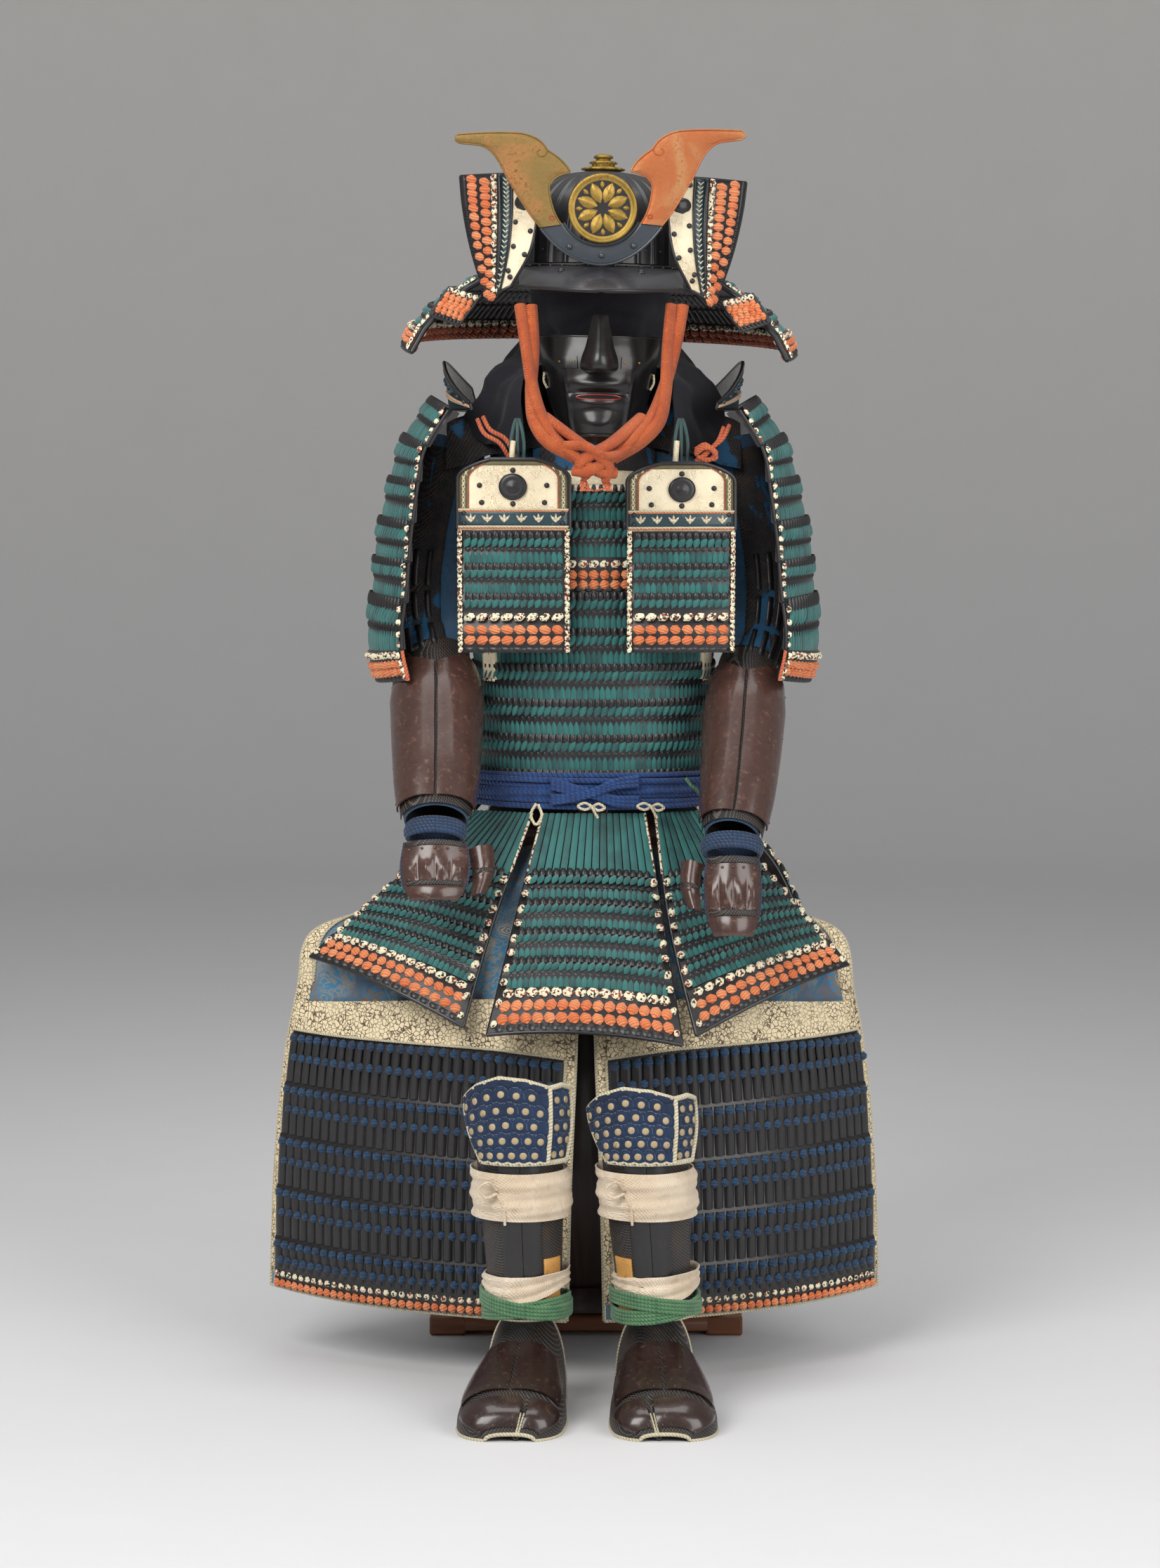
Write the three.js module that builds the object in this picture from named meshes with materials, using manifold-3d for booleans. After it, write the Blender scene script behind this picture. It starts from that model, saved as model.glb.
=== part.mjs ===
// Samurai armour laced and tied over its wooden stand, seated, in millimetres.
// +Z is up and the armour faces -Y. Left and right are a viewer's, standing in front of it.
import * as THREE from "three";
import Module from "manifold-3d";

// ---- driving sizes ----------------------------------------------------------------------
const CENTRE_X = 14.5; // the skirts hang a little to one side, so the whole is moved back to centre
const LAME_STEP = 4; // each lame stands this far out over the foot of the one above
const IRON = 2.4; // wall of a lacquered plate
const LAMED = 4; // wall of a laced lame: scales, lacquer and braid
const CLOTH = 2; // wall of lined cloth
const QUILT = 5; // wall of the padded knee pieces

const HELMET = { x: 18, roll: 0.022, pivotZ: 1330, y: 85, rx: 112, ry: 128 };
const CREST_ROLL = -0.012; // the horns sit a touch askew on the helmet
const BODY = { x: 9, y: 125, waistZ: 680, topZ: 1069 };
const BASE = { halfX: 197, y0: 135, y1: 430, z: 24, foot: 46 };
const CHEST_BOX = { halfX: 168, y0: 150, y1: 360, z0: 24.4, z1: 585, board: 12 };

const deg = Math.PI / 180;
const V = (x, y, z) => new THREE.Vector3(x, y, z);
const mix = (a, b, f) => a + (b - a) * f;
const signedPower = (s, p) => Math.sign(s) * Math.abs(s) ** p;

// Value of every column of a table at key k, straight between its rows.
function at(table, key, k) {
  const down = table[0][key] > table[table.length - 1][key];
  let i = 0;
  while (i < table.length - 2 && (down ? table[i + 1][key] > k : table[i + 1][key] < k)) i++;
  const [a, b] = [table[i], table[i + 1]];
  const f = Math.min(1, Math.max(0, (k - a[key]) / (b[key] - a[key])));
  return Object.fromEntries(Object.keys(a).map((c) => [c, mix(a[c], b[c], f)]));
}

// ---- building closed walls and solids ---------------------------------------------------
function geometry(points, faces) {
  const g = new THREE.BufferGeometry().setFromPoints(points);
  g.setIndex(faces);
  g.computeVertexNormals();
  return g;
}

// A wall under a grid of points on its outer face. Rows run down and columns run to the
// right for someone who looks at that face; ring joins the last column to the first.
function wall(rows, thick, ring = false) {
  const m = rows.length, n = rows[0].length;
  const col = (j) => (ring ? (j + n) % n : Math.min(n - 1, Math.max(0, j)));
  const row = (i) => Math.min(m - 1, Math.max(0, i));
  const inner = rows.map((r, i) => r.map((p, j) => {
    const down = rows[row(i + 1)][j].clone().sub(rows[row(i - 1)][j]);
    const right = r[col(j + 1)].clone().sub(r[col(j - 1)]);
    return p.clone().addScaledVector(down.cross(right).normalize(), -thick);
  }));
  const points = [...rows.flat(), ...inner.flat()], faces = [], back = m * n;
  const last = ring ? n : n - 1;
  const quad = (a, b, c, d) => faces.push(a, b, c, a, c, d);
  for (let i = 0; i < m - 1; i++)
    for (let j = 0; j < last; j++) {
      const a = i * n + j, b = a + n, d = i * n + col(j + 1), c = d + n;
      quad(a, b, c, d);
      quad(back + a, back + d, back + c, back + b);
    }
  for (let j = 0; j < last; j++) {
    const a = j, d = col(j + 1), b = (m - 1) * n + a, c = (m - 1) * n + d;
    quad(a, d, back + d, back + a);
    quad(c, b, back + b, back + c);
  }
  if (!ring)
    for (let i = 0; i < m - 1; i++) {
      const a = i * n, b = a + n, d = a + n - 1, c = b + n - 1;
      quad(b, a, back + a, back + b);
      quad(d, c, back + c, back + d);
    }
  return geometry(points, faces);
}

// A solid through closed sections, each turning the same way, with flat ends.
function loft(rings) {
  const n = rings[0].length, points = rings.flat(), faces = [];
  for (let i = 0; i < rings.length - 1; i++)
    for (let j = 0; j < n; j++) {
      const a = i * n + j, b = i * n + ((j + 1) % n);
      faces.push(a, a + n, b + n, a, b + n, b);
    }
  const end = (rings.length - 1) * n;
  for (let j = 1; j < n - 1; j++) {
    faces.push(0, j, j + 1);
    faces.push(end, end + j + 1, end + j);
  }
  return geometry(points, faces);
}

// A turned solid on an upright axis at x, y; the profile runs from its top down.
function turned(x, y, profile, sides = 16) {
  return loft(profile.map(([r, z, ry = r, dx = 0, dy = 0]) =>
    Array.from({ length: sides }, (_, j) => {
      const f = (2 * Math.PI * j) / sides;
      return V(x + dx + r * Math.sin(f), y + dy - ry * Math.cos(f), z);
    })));
}

// Sections square to a path: each row of the table gives a centre and two half widths.
function sections(table, sides, squash = () => 1) {
  const pts = table.map((r) => V(r.x, r.y, r.z));
  return table.map((r, i) => {
    const along = pts[Math.min(i + 1, pts.length - 1)].clone().sub(pts[Math.max(i - 1, 0)]);
    along.normalize();
    const side = V(1, 0, 0).addScaledVector(along, -along.x).normalize();
    const face = along.clone().cross(side);
    return Array.from({ length: sides }, (_, j) => {
      const f = (2 * Math.PI * j) / sides, k = squash(f, i);
      return pts[i].clone().addScaledVector(side, r.rx * k * Math.sin(f))
        .addScaledVector(face, r.ry * k * Math.cos(f));
    });
  });
}

// A round cord of one radius through a few points.
function cord(points, radius, steps = 10, sides = 7) {
  const curve = new THREE.CatmullRomCurve3(points.map((p) => V(...p)));
  const frames = curve.computeFrenetFrames(steps, false);
  const rings = Array.from({ length: steps + 1 }, (_, i) => {
    const c = curve.getPointAt(i / steps);
    return Array.from({ length: sides }, (_, j) => {
      const f = (2 * Math.PI * j) / sides;
      return c.clone().addScaledVector(frames.normals[i], radius * Math.cos(f))
        .addScaledVector(frames.binormals[i], radius * Math.sin(f));
    });
  });
  return loft(rings.reverse());
}

// Part of an oval section at one height: f is 0 in front and grows to the right.
const oval = (r, f, power = 1) => V(
  (r.x ?? 0) + r.rx * signedPower(Math.sin(f * deg), power),
  r.y - r.ry * signedPower(Math.cos(f * deg), power), r.z);
const arc = (r, from, to, n, power = 1) =>
  Array.from({ length: n + 1 }, (_, j) => oval(r, mix(from, to, j / n), power));

// Places down a laced piece: two a lame, [how far down, how far out].
function lameRows(top, foot, count, step = LAME_STEP) {
  const rows = [], pitch = (foot - top) / count, ledge = Math.abs(pitch) * 0.07;
  for (let k = 0; k < count; k++) {
    const a = top + pitch * k;
    rows.push([a + (k ? Math.sign(pitch) * ledge : 0), k ? step : 0]);
    rows.push([a + pitch, 0]);
  }
  return rows;
}

// A hanging piece between its left and right edges. p(u, t, out): u across, t down.
function hanging({ left, right, bow }) {
  const edge = (pts) => new THREE.CatmullRomCurve3(pts.map((p) => V(...p)), false, "centripetal");
  const a = edge(left), b = edge(right);
  const flat = (u, t) => a.getPoint(t).lerp(b.getPoint(t), u);
  return (u, t, out = 0) => {
    const down = flat(u, Math.min(1, t + 0.02)).sub(flat(u, Math.max(0, t - 0.02)));
    const face = down.cross(flat(1, t).sub(flat(0, t))).normalize();
    const belly = typeof bow === "function" ? bow(t) : bow;
    return flat(u, t).addScaledVector(face, out + belly * 4 * u * (1 - u));
  };
}
const grid = (p, rows, n, inset = () => 0) => rows.map(([t, out = 0]) => {
  const w = inset(t);
  return Array.from({ length: n + 1 }, (_, j) => p(mix(w, 1 - w, j / n), t, out));
});
const even = (a, b, n, out = 0) => Array.from({ length: n + 1 }, (_, i) => [mix(a, b, i / n), out]);
const mirrored = (rows, wide = 1) => rows.map((r) => r.map((p) => V(-p.x * wide, p.y, p.z)).reverse());

// ---- materials --------------------------------------------------------------------------
const paint = (color, roughness, metalness = 0) => ({ color, roughness, metalness });
const BLACK_LACQUER = paint(0x242226, 0.35);
const TEAL_LACING = paint(0x236f6c, 0.8);
const GILT = paint(0xa5873c, 0.4, 1);
const ORANGE_CORD = paint(0xd76e3c, 0.85);
const NAVY_CLOTH = paint(0x16161e, 0.9);
const BLUE_CLOTH = paint(0x1a5880, 0.85);
const BROCADE = paint(0x3a6a8c, 0.75);
const RUSSET_IRON = paint(0x4b3430, 0.55, 0.6);
const COBALT_CORD = paint(0x193c8c, 0.8);
const NAVY_QUILT = paint(0x162a55, 0.85);
const LINEN = paint(0xe1cdb4, 0.9);
const LEATHER = paint(0xebdcb9, 0.7);
const WOOD = paint(0x734128, 0.55);
const DARK_WOOD = paint(0x2d1e19, 0.5);

const armour = new THREE.Group();
armour.name = "samurai_armour";
armour.position.x = CENTRE_X;
const group = (name, x, z = 0, roll = 0) => {
  const g = new THREE.Group(), inside = new THREE.Group();
  g.name = name;
  g.position.set(x, 0, z);
  g.rotation.y = roll;
  inside.position.z = -z;
  g.add(inside);
  armour.add(g);
  return inside;
};
const helmet = group("helmet", HELMET.x, HELMET.pivotZ, HELMET.roll);
const crest = group("crest", HELMET.x, HELMET.pivotZ, CREST_ROLL);
const torso = group("torso", BODY.x);
const legs = group("legs", 0);
function add(parent, name, geo, material) {
  const mesh = new THREE.Mesh(geo, new THREE.MeshStandardMaterial(material));
  mesh.name = name;
  parent.add(mesh);
}
// A left piece and its mirror image; the rows are those of the left one.
function pair(parent, name, rows, thick, material, wide = 1) {
  add(parent, name + "_left", wall(rows, thick), material);
  add(parent, name + "_right", wall(mirrored(rows, wide), thick), material);
}

// ---- helmet -----------------------------------------------------------------------------
const bowlTable = [
  { z: 1450, r: 0.14 }, { z: 1444, r: 0.42 }, { z: 1430, r: 0.68 },
  { z: 1408, r: 0.87 }, { z: 1375, r: 0.97 }, { z: 1334, r: 1 },
];
const bowlRing = ({ z, r }) =>
  arc({ y: HELMET.y, z, rx: HELMET.rx * r, ry: HELMET.ry * r }, 0, 342, 19);
add(helmet, "helmet_bowl", wall(bowlTable.map(bowlRing), IRON + 0.6, true), BLACK_LACQUER);
add(helmet, "helmet_finial", turned(0, HELMET.y, [[4, 1471], [10, 1469.5], [15, 1467], [13, 1463.5],
  [19, 1460], [16, 1456.5], [25, 1454], [24, 1450.9]], 12), GILT);

// The brim springs from the foot of the bowl and dips forward.
const brimRows = [0, 0.5, 1].map((d) => Array.from({ length: 11 }, (_, j) => {
  const s = j / 5 - 1, round = 1 - 0.06 * Math.abs(s) ** 6;
  const root = oval({ y: HELMET.y, z: 1331, rx: HELMET.rx + 2, ry: HELMET.ry + 2 }, s * 62);
  const lip = V(104 * s * round, -118 + 80 * s * s, 1297 + 6 * s * s);
  return root.lerp(lip, d).add(V(0, 0, 7 * 4 * d * (1 - d) * 0.5));
}));
add(helmet, "helmet_brim", wall(brimRows, IRON), BLACK_LACQUER);

// Five lames of the neck guard open from the bowl round the sides and the back.
const neckTable = [
  { d: 0, z: 1328, rx: 115, ry: 131 }, { d: 0.25, z: 1321, rx: 156, ry: 168 },
  { d: 0.5, z: 1307, rx: 192, ry: 200 }, { d: 0.8, z: 1279, rx: 226, ry: 230 }, { d: 1, z: 1257, rx: 242, ry: 242 },
];
const NECK = { from: 70, to: 290, droop: 32 };
const neckPoint = (f, d, out) => {
  const r = at(neckTable, "d", d);
  const p = oval({ y: HELMET.y, z: r.z, rx: r.rx + out, ry: r.ry + out }, f);
  p.z -= NECK.droop * d * (Math.abs(f - 180) / 110) ** 2 - out * 0.6;
  return p;
};
const neckRows = lameRows(0, 1, 5, 3).map(([d, out]) =>
  Array.from({ length: 19 }, (_, j) => neckPoint(mix(NECK.from, NECK.to, j / 18), d, out)));
add(helmet, "neck_guard", wall(neckRows, LAMED), BLACK_LACQUER);

// The ends of the upper lames turn back beside the brim as leathered wings.
const wing = hanging({
  left: [[-172, 6, 1435], [-168, 4, 1400], [-158, 0, 1352], [-136, -12, 1284]],
  right: [[-78, -46, 1437], [-78, -50, 1392], [-86, -52, 1345], [-108, -36, 1304]],
  bow: 6,
});
pair(helmet, "wing", grid(wing, even(0, 1, 7), 5), IRON, LEATHER);

// A flat plate cut to an outline in x and z, with its front face at y.
function plate(shape, y, thick, segments = 6) {
  const g = new THREE.ExtrudeGeometry(shape, { depth: thick, bevelEnabled: false, curveSegments: segments });
  return g.rotateX(Math.PI / 2).translate(0, y + thick, 0);
}
const crescent = new THREE.Shape();
crescent.moveTo(-72, 1374);
crescent.bezierCurveTo(-52, 1346, -24, 1330, 0, 1330);
crescent.bezierCurveTo(24, 1330, 52, 1346, 72, 1374);
crescent.lineTo(44, 1380);
crescent.bezierCurveTo(34, 1362, 18, 1353, 0, 1353);
crescent.bezierCurveTo(-18, 1353, -34, 1362, -44, 1380);
add(crest, "crest_base", plate(crescent, -64, 3), paint(0x2d323a, 0.45, 0.6));
const hornSpans = [ // two handles and an end for each span, from the foot's outer corner round the tip
  [-88, 1393, -101, 1418, -109, 1430], [-118, 1449, -126, 1472, -148, 1473],
  [-155, 1474, -160, 1474, -166, 1475], [-173, 1477, -173, 1485, -166, 1485.5],
  [-140, 1487, -110, 1488, -92, 1485.5], [-78, 1483, -66, 1475, -63, 1466],
  [-55, 1461, -41, 1452, -35.5, 1439], [-50, 1437, -60, 1430, -61, 1421],
  [-60, 1405, -56, 1390, -47, 1378], [-55, 1372, -64, 1371, -72, 1375],
];
for (const [side, s] of [["left", 1], ["right", -1]]) {
  const horn = new THREE.Shape();
  horn.moveTo(-72 * s, 1375);
  for (const [a, b, c, d, x, z] of hornSpans) horn.bezierCurveTo(a * s, b, c * s, d, x * s, z);
  add(crest, "horn_" + side, plate(horn, -67, 1.6), s > 0 ? GILT : paint(0xb47040, 0.4, 1));
}
const discRings = [[41, -76], [41, -70]].map(([r, y]) => Array.from({ length: 24 }, (_, j) => {
  const f = (2 * Math.PI * j) / 24;
  return V(2 + r * Math.sin(f), y, 1396 + r * Math.cos(f));
}));
add(crest, "crest_disc", loft(discRings.reverse()), GILT);

// ---- mask and hood ----------------------------------------------------------------------
const maskTable = [
  { z: 1246, rx: 73, ry: 76 }, { z: 1232, rx: 73, ry: 80 }, { z: 1216, rx: 71, ry: 82 },
  { z: 1198, rx: 67, ry: 83 }, { z: 1186, rx: 64, ry: 83 }, { z: 1176, rx: 61, ry: 83 },
  { z: 1162, rx: 56, ry: 83 }, { z: 1148, rx: 51, ry: 82 }, { z: 1136, rx: 45, ry: 80 },
  { z: 1129, rx: 38, ry: 76 },
];
// Calm, even features: full cheeks, closed lips and a plain round chin.
const swell = (f, z, f0, z0, wide, tall, by) =>
  by * Math.exp(-(((f - f0) / wide) ** 2) - ((z - z0) / tall) ** 2);
const faceSwell = (f, z) => swell(Math.abs(f), z, 42, 1214, 20, 20, 5)
  + swell(f, z, 0, 1142, 24, 12, 6) + swell(f, z, 0, 1190, 26, 6, 4)
  + swell(f, z, 0, 1168, 24, 6, 4) - swell(f, z, 0, 1179, 24, 5, 4);
const maskRows = maskTable.map((r) => Array.from({ length: 15 }, (_, j) => {
  const f = mix(-96, 96, j / 14), out = faceSwell(f, r.z);
  return oval({ y: 30, z: r.z, rx: r.rx + out, ry: r.ry + out }, f, 0.92);
}));
add(helmet, "face_mask", wall(maskRows, IRON), BLACK_LACQUER);
const noseTable = [
  { z: 1271, half: 9, edge: -57, ridge: -61 }, { z: 1252, half: 13, edge: -59, ridge: -70 },
  { z: 1234, half: 17, edge: -61, ridge: -79 }, { z: 1218, half: 22, edge: -63, ridge: -85 },
  { z: 1207, half: 22, edge: -63, ridge: -83 }, { z: 1203, half: 14, edge: -64, ridge: -74 },
];
add(helmet, "mask_nose", wall(noseTable.map((r) => Array.from({ length: 7 }, (_, j) => {
  const s = j / 3 - 1;
  return V(r.half * s, mix(r.ridge, r.edge, Math.abs(s) ** 1.3), r.z);
})), 2), BLACK_LACQUER);

// Hood of soft cloth: round the head under the helmet, then open over the shoulders.
const hoodTable = [ // narrow is its half width in front, inside the mask; drop lowers its foot
  { z: 1322, rx: 88, ry: 98, y: 78, open: 3, fold: 0, narrow: 88, drop: 0 },
  { z: 1286, rx: 84, ry: 90, y: 74, open: 3, fold: 1, narrow: 84, drop: 0 },
  { z: 1267, rx: 84, ry: 82, y: 74, open: 3, fold: 1, narrow: 74, drop: 0 },
  { z: 1248, rx: 98, ry: 84, y: 80, open: 3, fold: 2, narrow: 64, drop: 0 },
  { z: 1224, rx: 120, ry: 90, y: 86, open: 6, fold: 3, narrow: 62, drop: 0 },
  { z: 1210, rx: 128, ry: 93, y: 90, open: 62, fold: 3, narrow: 66, drop: 0 },
  { z: 1192, rx: 138, ry: 98, y: 96, open: 58, fold: 5, narrow: 138, drop: 0 },
  { z: 1170, rx: 146, ry: 106, y: 104, open: 46, fold: 5, narrow: 146, drop: 0.2 },
  { z: 1150, rx: 156, ry: 114, y: 112, open: 38, fold: 5, narrow: 156, drop: 0.5 },
  { z: 1138, rx: 166, ry: 120, y: 118, open: 32, fold: 5, narrow: 166, drop: 1 },
];
const hoodRows = hoodTable.map((r) => Array.from({ length: 26 }, (_, j) => {
  const f = mix(r.open, 360 - r.open, j / 25), out = r.fold * Math.cos(f * 9 * deg);
  const side = Math.min(1, Math.max(0, (Math.abs(180 - f) - 80) / -40 + 1)); // 0 in front, 1 behind
  const rx = mix(r.narrow, r.rx, side);
  const p = oval({ ...r, rx: rx + out, ry: r.ry + out }, f), c = Math.cos(f * deg);
  p.z += out * 0.8 - r.drop * (c > 0 ? 44 * c ** 1.5 : 55 * c ** 6);
  return p;
}));
add(helmet, "hood_cloth", wall(hoodRows, CLOTH), NAVY_CLOTH);
for (const s of [-1, 1])
  add(armour, "chin_cord_" + (s < 0 ? "left" : "right"), cord([[18 + 90 * s, -58, 1282],
    [17 + 84 * s, -70, 1232], [14 + 78 * s, -84, 1180], [12 + 68 * s, -98, 1145],
    [8 + 57 * s, -108, 1124]], 9, 9), ORANGE_CORD);
add(armour, "chin_knot", turned(8, -108, [[8, 1131, 6], [26, 1126, 13], [40, 1115, 17], [46, 1101, 18],
  [40, 1087, 17], [26, 1076, 13], [8, 1071, 6]], 14), ORANGE_CORD);

// ---- cuirass ----------------------------------------------------------------------------
const bodyTable = [
  { z: 1069, rx: 146, ry: 110, reach: 46 }, { z: 1040, rx: 148, ry: 114, reach: 48 },
  { z: 1000, rx: 149, ry: 118, reach: 58 }, { z: 955, rx: 149, ry: 120, reach: 76 },
  { z: 925, rx: 149, ry: 121, reach: 89.6 }, { z: 850, rx: 147, ry: 119, reach: 89.6 },
  { z: 770, rx: 143, ry: 115, reach: 89.6 }, { z: 680, rx: 140, ry: 112, reach: 89.6 },
];
const bodyPoint = (f, z, out = 0) => {
  const r = at(bodyTable, "z", z);
  return oval({ y: BODY.y, z, rx: r.rx + out, ry: r.ry + out }, f, 0.9);
};
const cuirass = (middle) => lameRows(BODY.topZ, BODY.waistZ, 9, 2.5).map(([z, out]) => {
  const reach = at(bodyTable, "z", z).reach;
  return Array.from({ length: 13 }, (_, j) => bodyPoint(middle + mix(-reach, reach, j / 12), z, out));
});
add(torso, "cuirass_front", wall(cuirass(0), LAMED), TEAL_LACING);
add(torso, "cuirass_back", wall(cuirass(180), LAMED), TEAL_LACING);
const strapPath = [[214, 1080], [198, 1107], [160, 1120], [110, 1120], [70, 1106], [44, 1077]];
const strap = hanging({
  left: strapPath.map(([y, z]) => [-124, y, z - 8]), right: strapPath.map(([y, z]) => [-70, y, z]), bow: 4,
});
pair(torso, "shoulder_strap", grid(strap, even(0, 1, 8), 3), 6, BLUE_CLOTH);
const chestPanel = (outer, inner, top) => hanging({
  left: [[outer, -10, top], [outer, -16, 980], [outer + 1, -20, 868]],
  right: [[inner, -24, top], [inner, -26, 980], [inner, -28, 868]],
  bow: 7,
});
const arched = (t) => 0.3 * Math.max(0, 1 - t / 0.1) ** 2.2;
const chestRows = [[0], [0.02], [0.05], [0.1], [0.34], ...lameRows(0.36, 1, 4, 3)];
add(torso, "chest_panel_left", wall(grid(chestPanel(-164, -29, 1100), chestRows, 4, arched), LAMED + 1), TEAL_LACING);
add(torso, "chest_panel_right",
  wall(mirrored(grid(chestPanel(-170, -40, 1095), chestRows, 4, arched)), LAMED + 1), TEAL_LACING);

const waistTable = [[719, 0], [712, 3], [698, 4], [684, 3], [677, 0]];
add(torso, "waist_cord", wall(waistTable.map(([z, out]) => arc({ y: BODY.y, z, rx: 154 + out, ry: 126 + out },
  0, 345, 23, 0.9)), 8, true), COBALT_CORD);

// Seven tassets hang on long laces from the waist. Top and foot are given left edge first.
const tassets = {
  centre: { top: [[-62, 6, 672], [62, 6, 672]], foot: [[-126, -165, 424], [104, -165, 412]], bow: 20 },
  front_left: { top: [[-147, 58, 672], [-76, 12, 672]], mid: [[-266, 4, 568], [-122, -68, 546]],
    foot: [[-344, -20, 500], [-156, -138, 430]], bow: 20 },
  front_right: { top: [[76, 12, 672], [147, 58, 672]], mid: [[92, -68, 542], [244, 4, 564]],
    foot: [[122, -138, 420], [309, -20, 490]], bow: 20 },
  side_left: { top: [[-142, 172, 672], [-156, 78, 672]], mid: [[-204, 200, 596], [-224, 88, 604]],
    foot: [[-262, 230, 462], [-300, 76, 470]], bow: 16 },
  side_right: { top: [[156, 78, 672], [142, 172, 672]], mid: [[224, 88, 604], [204, 200, 596]],
    foot: [[282, 76, 470], [244, 230, 462]], bow: 16 },
  back_right: { top: [[128, 196, 672], [6, 249, 672]], mid: [[150, 372, 606], [6, 384, 606]],
    foot: [[166, 394, 452], [6, 404, 446]], bow: 12 },
  back_left: { top: [[-6, 249, 672], [-128, 196, 672]], mid: [[-6, 384, 606], [-150, 372, 606]],
    foot: [[-6, 404, 446], [-166, 394, 452]], bow: 12 },
};
const LACE_SHARE = 0.27; // share of a tasset that is open lacing above its first lame
for (const [name, { top, mid, foot, bow }] of Object.entries(tassets)) {
  const p = hanging({
    left: mid ? [top[0], mid[0], foot[0]] : [top[0], foot[0]],
    right: mid ? [top[1], mid[1], foot[1]] : [top[1], foot[1]],
    bow: (t) => bow * t,
  });
  const rows = [[0], [LACE_SHARE * 0.5], ...lameRows(LACE_SHARE, 1, 5)];
  add(torso, "tasset_" + name, wall(grid(p, rows, 3), LAMED), TEAL_LACING);
}

// ---- shoulder guards --------------------------------------------------------------------
const SODE = { front: -35, back: 255 };
const sodeTable = [
  { z: 1160, x: 172 }, { z: 1110, x: 202 }, { z: 1060, x: 211 }, { z: 1000, x: 219 },
  { z: 950, x: 223 }, { z: 880, x: 230 }, { z: 835, x: 222 },
];
const sode = hanging({
  left: sodeTable.map((r) => [-r.x, SODE.back, r.z]),
  right: sodeTable.map((r) => [-r.x, SODE.front, r.z]),
  bow: (t) => 28 + 18 * Math.min(1, t * 2),
});
pair(torso, "shoulder_guard", grid(sode, lameRows(0, 1, 7, 5), 4), LAMED, TEAL_LACING);
const crownTable = [{ z: 1219, x: 165, bow: 20 }, { z: 1192, x: 156, bow: 25 }, { z: 1161, x: 148, bow: 30 }];
const crown = crownTable.map((r) => Array.from({ length: 7 }, (_, j) => {
  const u = j / 6;
  return V(-r.x - r.bow * 4 * u * (1 - u), mix(SODE.back - 6, SODE.front + 6, u), r.z);
}));
pair(torso, "shoulder_plate", crown, IRON, BLACK_LACQUER);

// ---- sleeves and hands ------------------------------------------------------------------
const armTable = [
  { x: -168, y: 124, z: 1122, rx: 38, ry: 50 }, { x: -192, y: 115, z: 1030, rx: 44, ry: 52 },
  { x: -203, y: 102, z: 950, rx: 46, ry: 50 }, { x: -202, y: 82, z: 890, rx: 44, ry: 48 },
  { x: -193, y: 50, z: 840, rx: 43, ry: 47 }, { x: -190, y: 12, z: 800, rx: 49, ry: 47 },
  { x: -189, y: -30, z: 754, rx: 46, ry: 43 }, { x: -188, y: -72, z: 710, rx: 43, ry: 38 },
  { x: -188, y: -104, z: 672, rx: 38, ry: 33 },
];
const RIGHT_ARM = { drop: 18, inward: 24, slim: 0.86 }; // the right arm hangs lower, closer and is drawn in
const folds = (f, i) => 1 + 0.03 * Math.cos(3 * f + i * 2.1) * (i < 5 ? 1 : 0.3);
for (const s of [-1, 1]) {
  const side = s < 0 ? "left" : "right";
  const table = armTable.map((r, i) => (s < 0 ? r : { ...r, x: -r.x - RIGHT_ARM.inward * (i / 8) ** 2.5,
    z: r.z - RIGHT_ARM.drop * i / 8, rx: r.rx * mix(1, RIGHT_ARM.slim, Math.min(1, i / 4)) }));
  const rings = sections(table, 14, folds);
  add(torso, "sleeve_" + side, wall(rings, CLOTH, true), BLUE_CLOTH);
  // The forearm plates are the sleeve's own face moved out, over its front.
  const wide = table.map((r) => ({ ...r, rx: r.rx * 1.03 + 5, ry: r.ry * 1.03 + 5 }));
  const cover = sections(wide, 16).slice(4).map((ring) => [...ring.slice(12), ...ring.slice(0, 5)]);
  add(torso, "forearm_plates_" + side, wall(cover, IRON), RUSSET_IRON);
  const wrist = table[8], at0 = V(wrist.x, wrist.y, wrist.z);
  const cuff = sections([0, 0.5, 1].map((k) => ({ x: wrist.x, y: wrist.y - 4 - 11 * k,
    z: wrist.z - 6 - 14 * k, rx: 33 + 3 * Math.sin(k * Math.PI), ry: 24 + 3 * Math.sin(k * Math.PI) })), 12);
  add(torso, "wrist_cord_" + side, wall(cuff, 5, true), COBALT_CORD);
  const [w, tip] = s < 0 ? [1.18, -92] : [0.98, -116];
  const handEdge = (k) => [[31, -26, -24], [34, -38, mix(-24, tip, 0.45)], [27, -50, tip]]
    .map(([x, y, z]) => at0.clone().add(V(k * w * x, y, z)).toArray());
  const hand = hanging({ left: handEdge(-1), right: handEdge(1), bow: 14 });
  add(torso, "hand_plate_" + side, wall(grid(hand, even(0, 1, 5), 6), IRON), BLACK_LACQUER);
  const thumbAt = ([x, y, z]) => [at0.x - s * x, at0.y + y, at0.z + z];
  const edges = [[[34, -8, -34], [38, -22, -62], [34, -36, -88]], [[60, -2, -30], [62, -16, -60], [55, -32, -86]]]
    .map((e) => e.map(([x, y, z]) => [x * (s < 0 ? 1.14 : 1), y, z]));
  const [l, r] = s < 0 ? edges : [edges[1], edges[0]];
  const thumb = hanging({ left: l.map(thumbAt), right: r.map(thumbAt), bow: 6 });
  add(torso, "thumb_plate_" + side, wall(grid(thumb, even(0, 1, 3), 3), IRON), BLACK_LACQUER);
}

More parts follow.
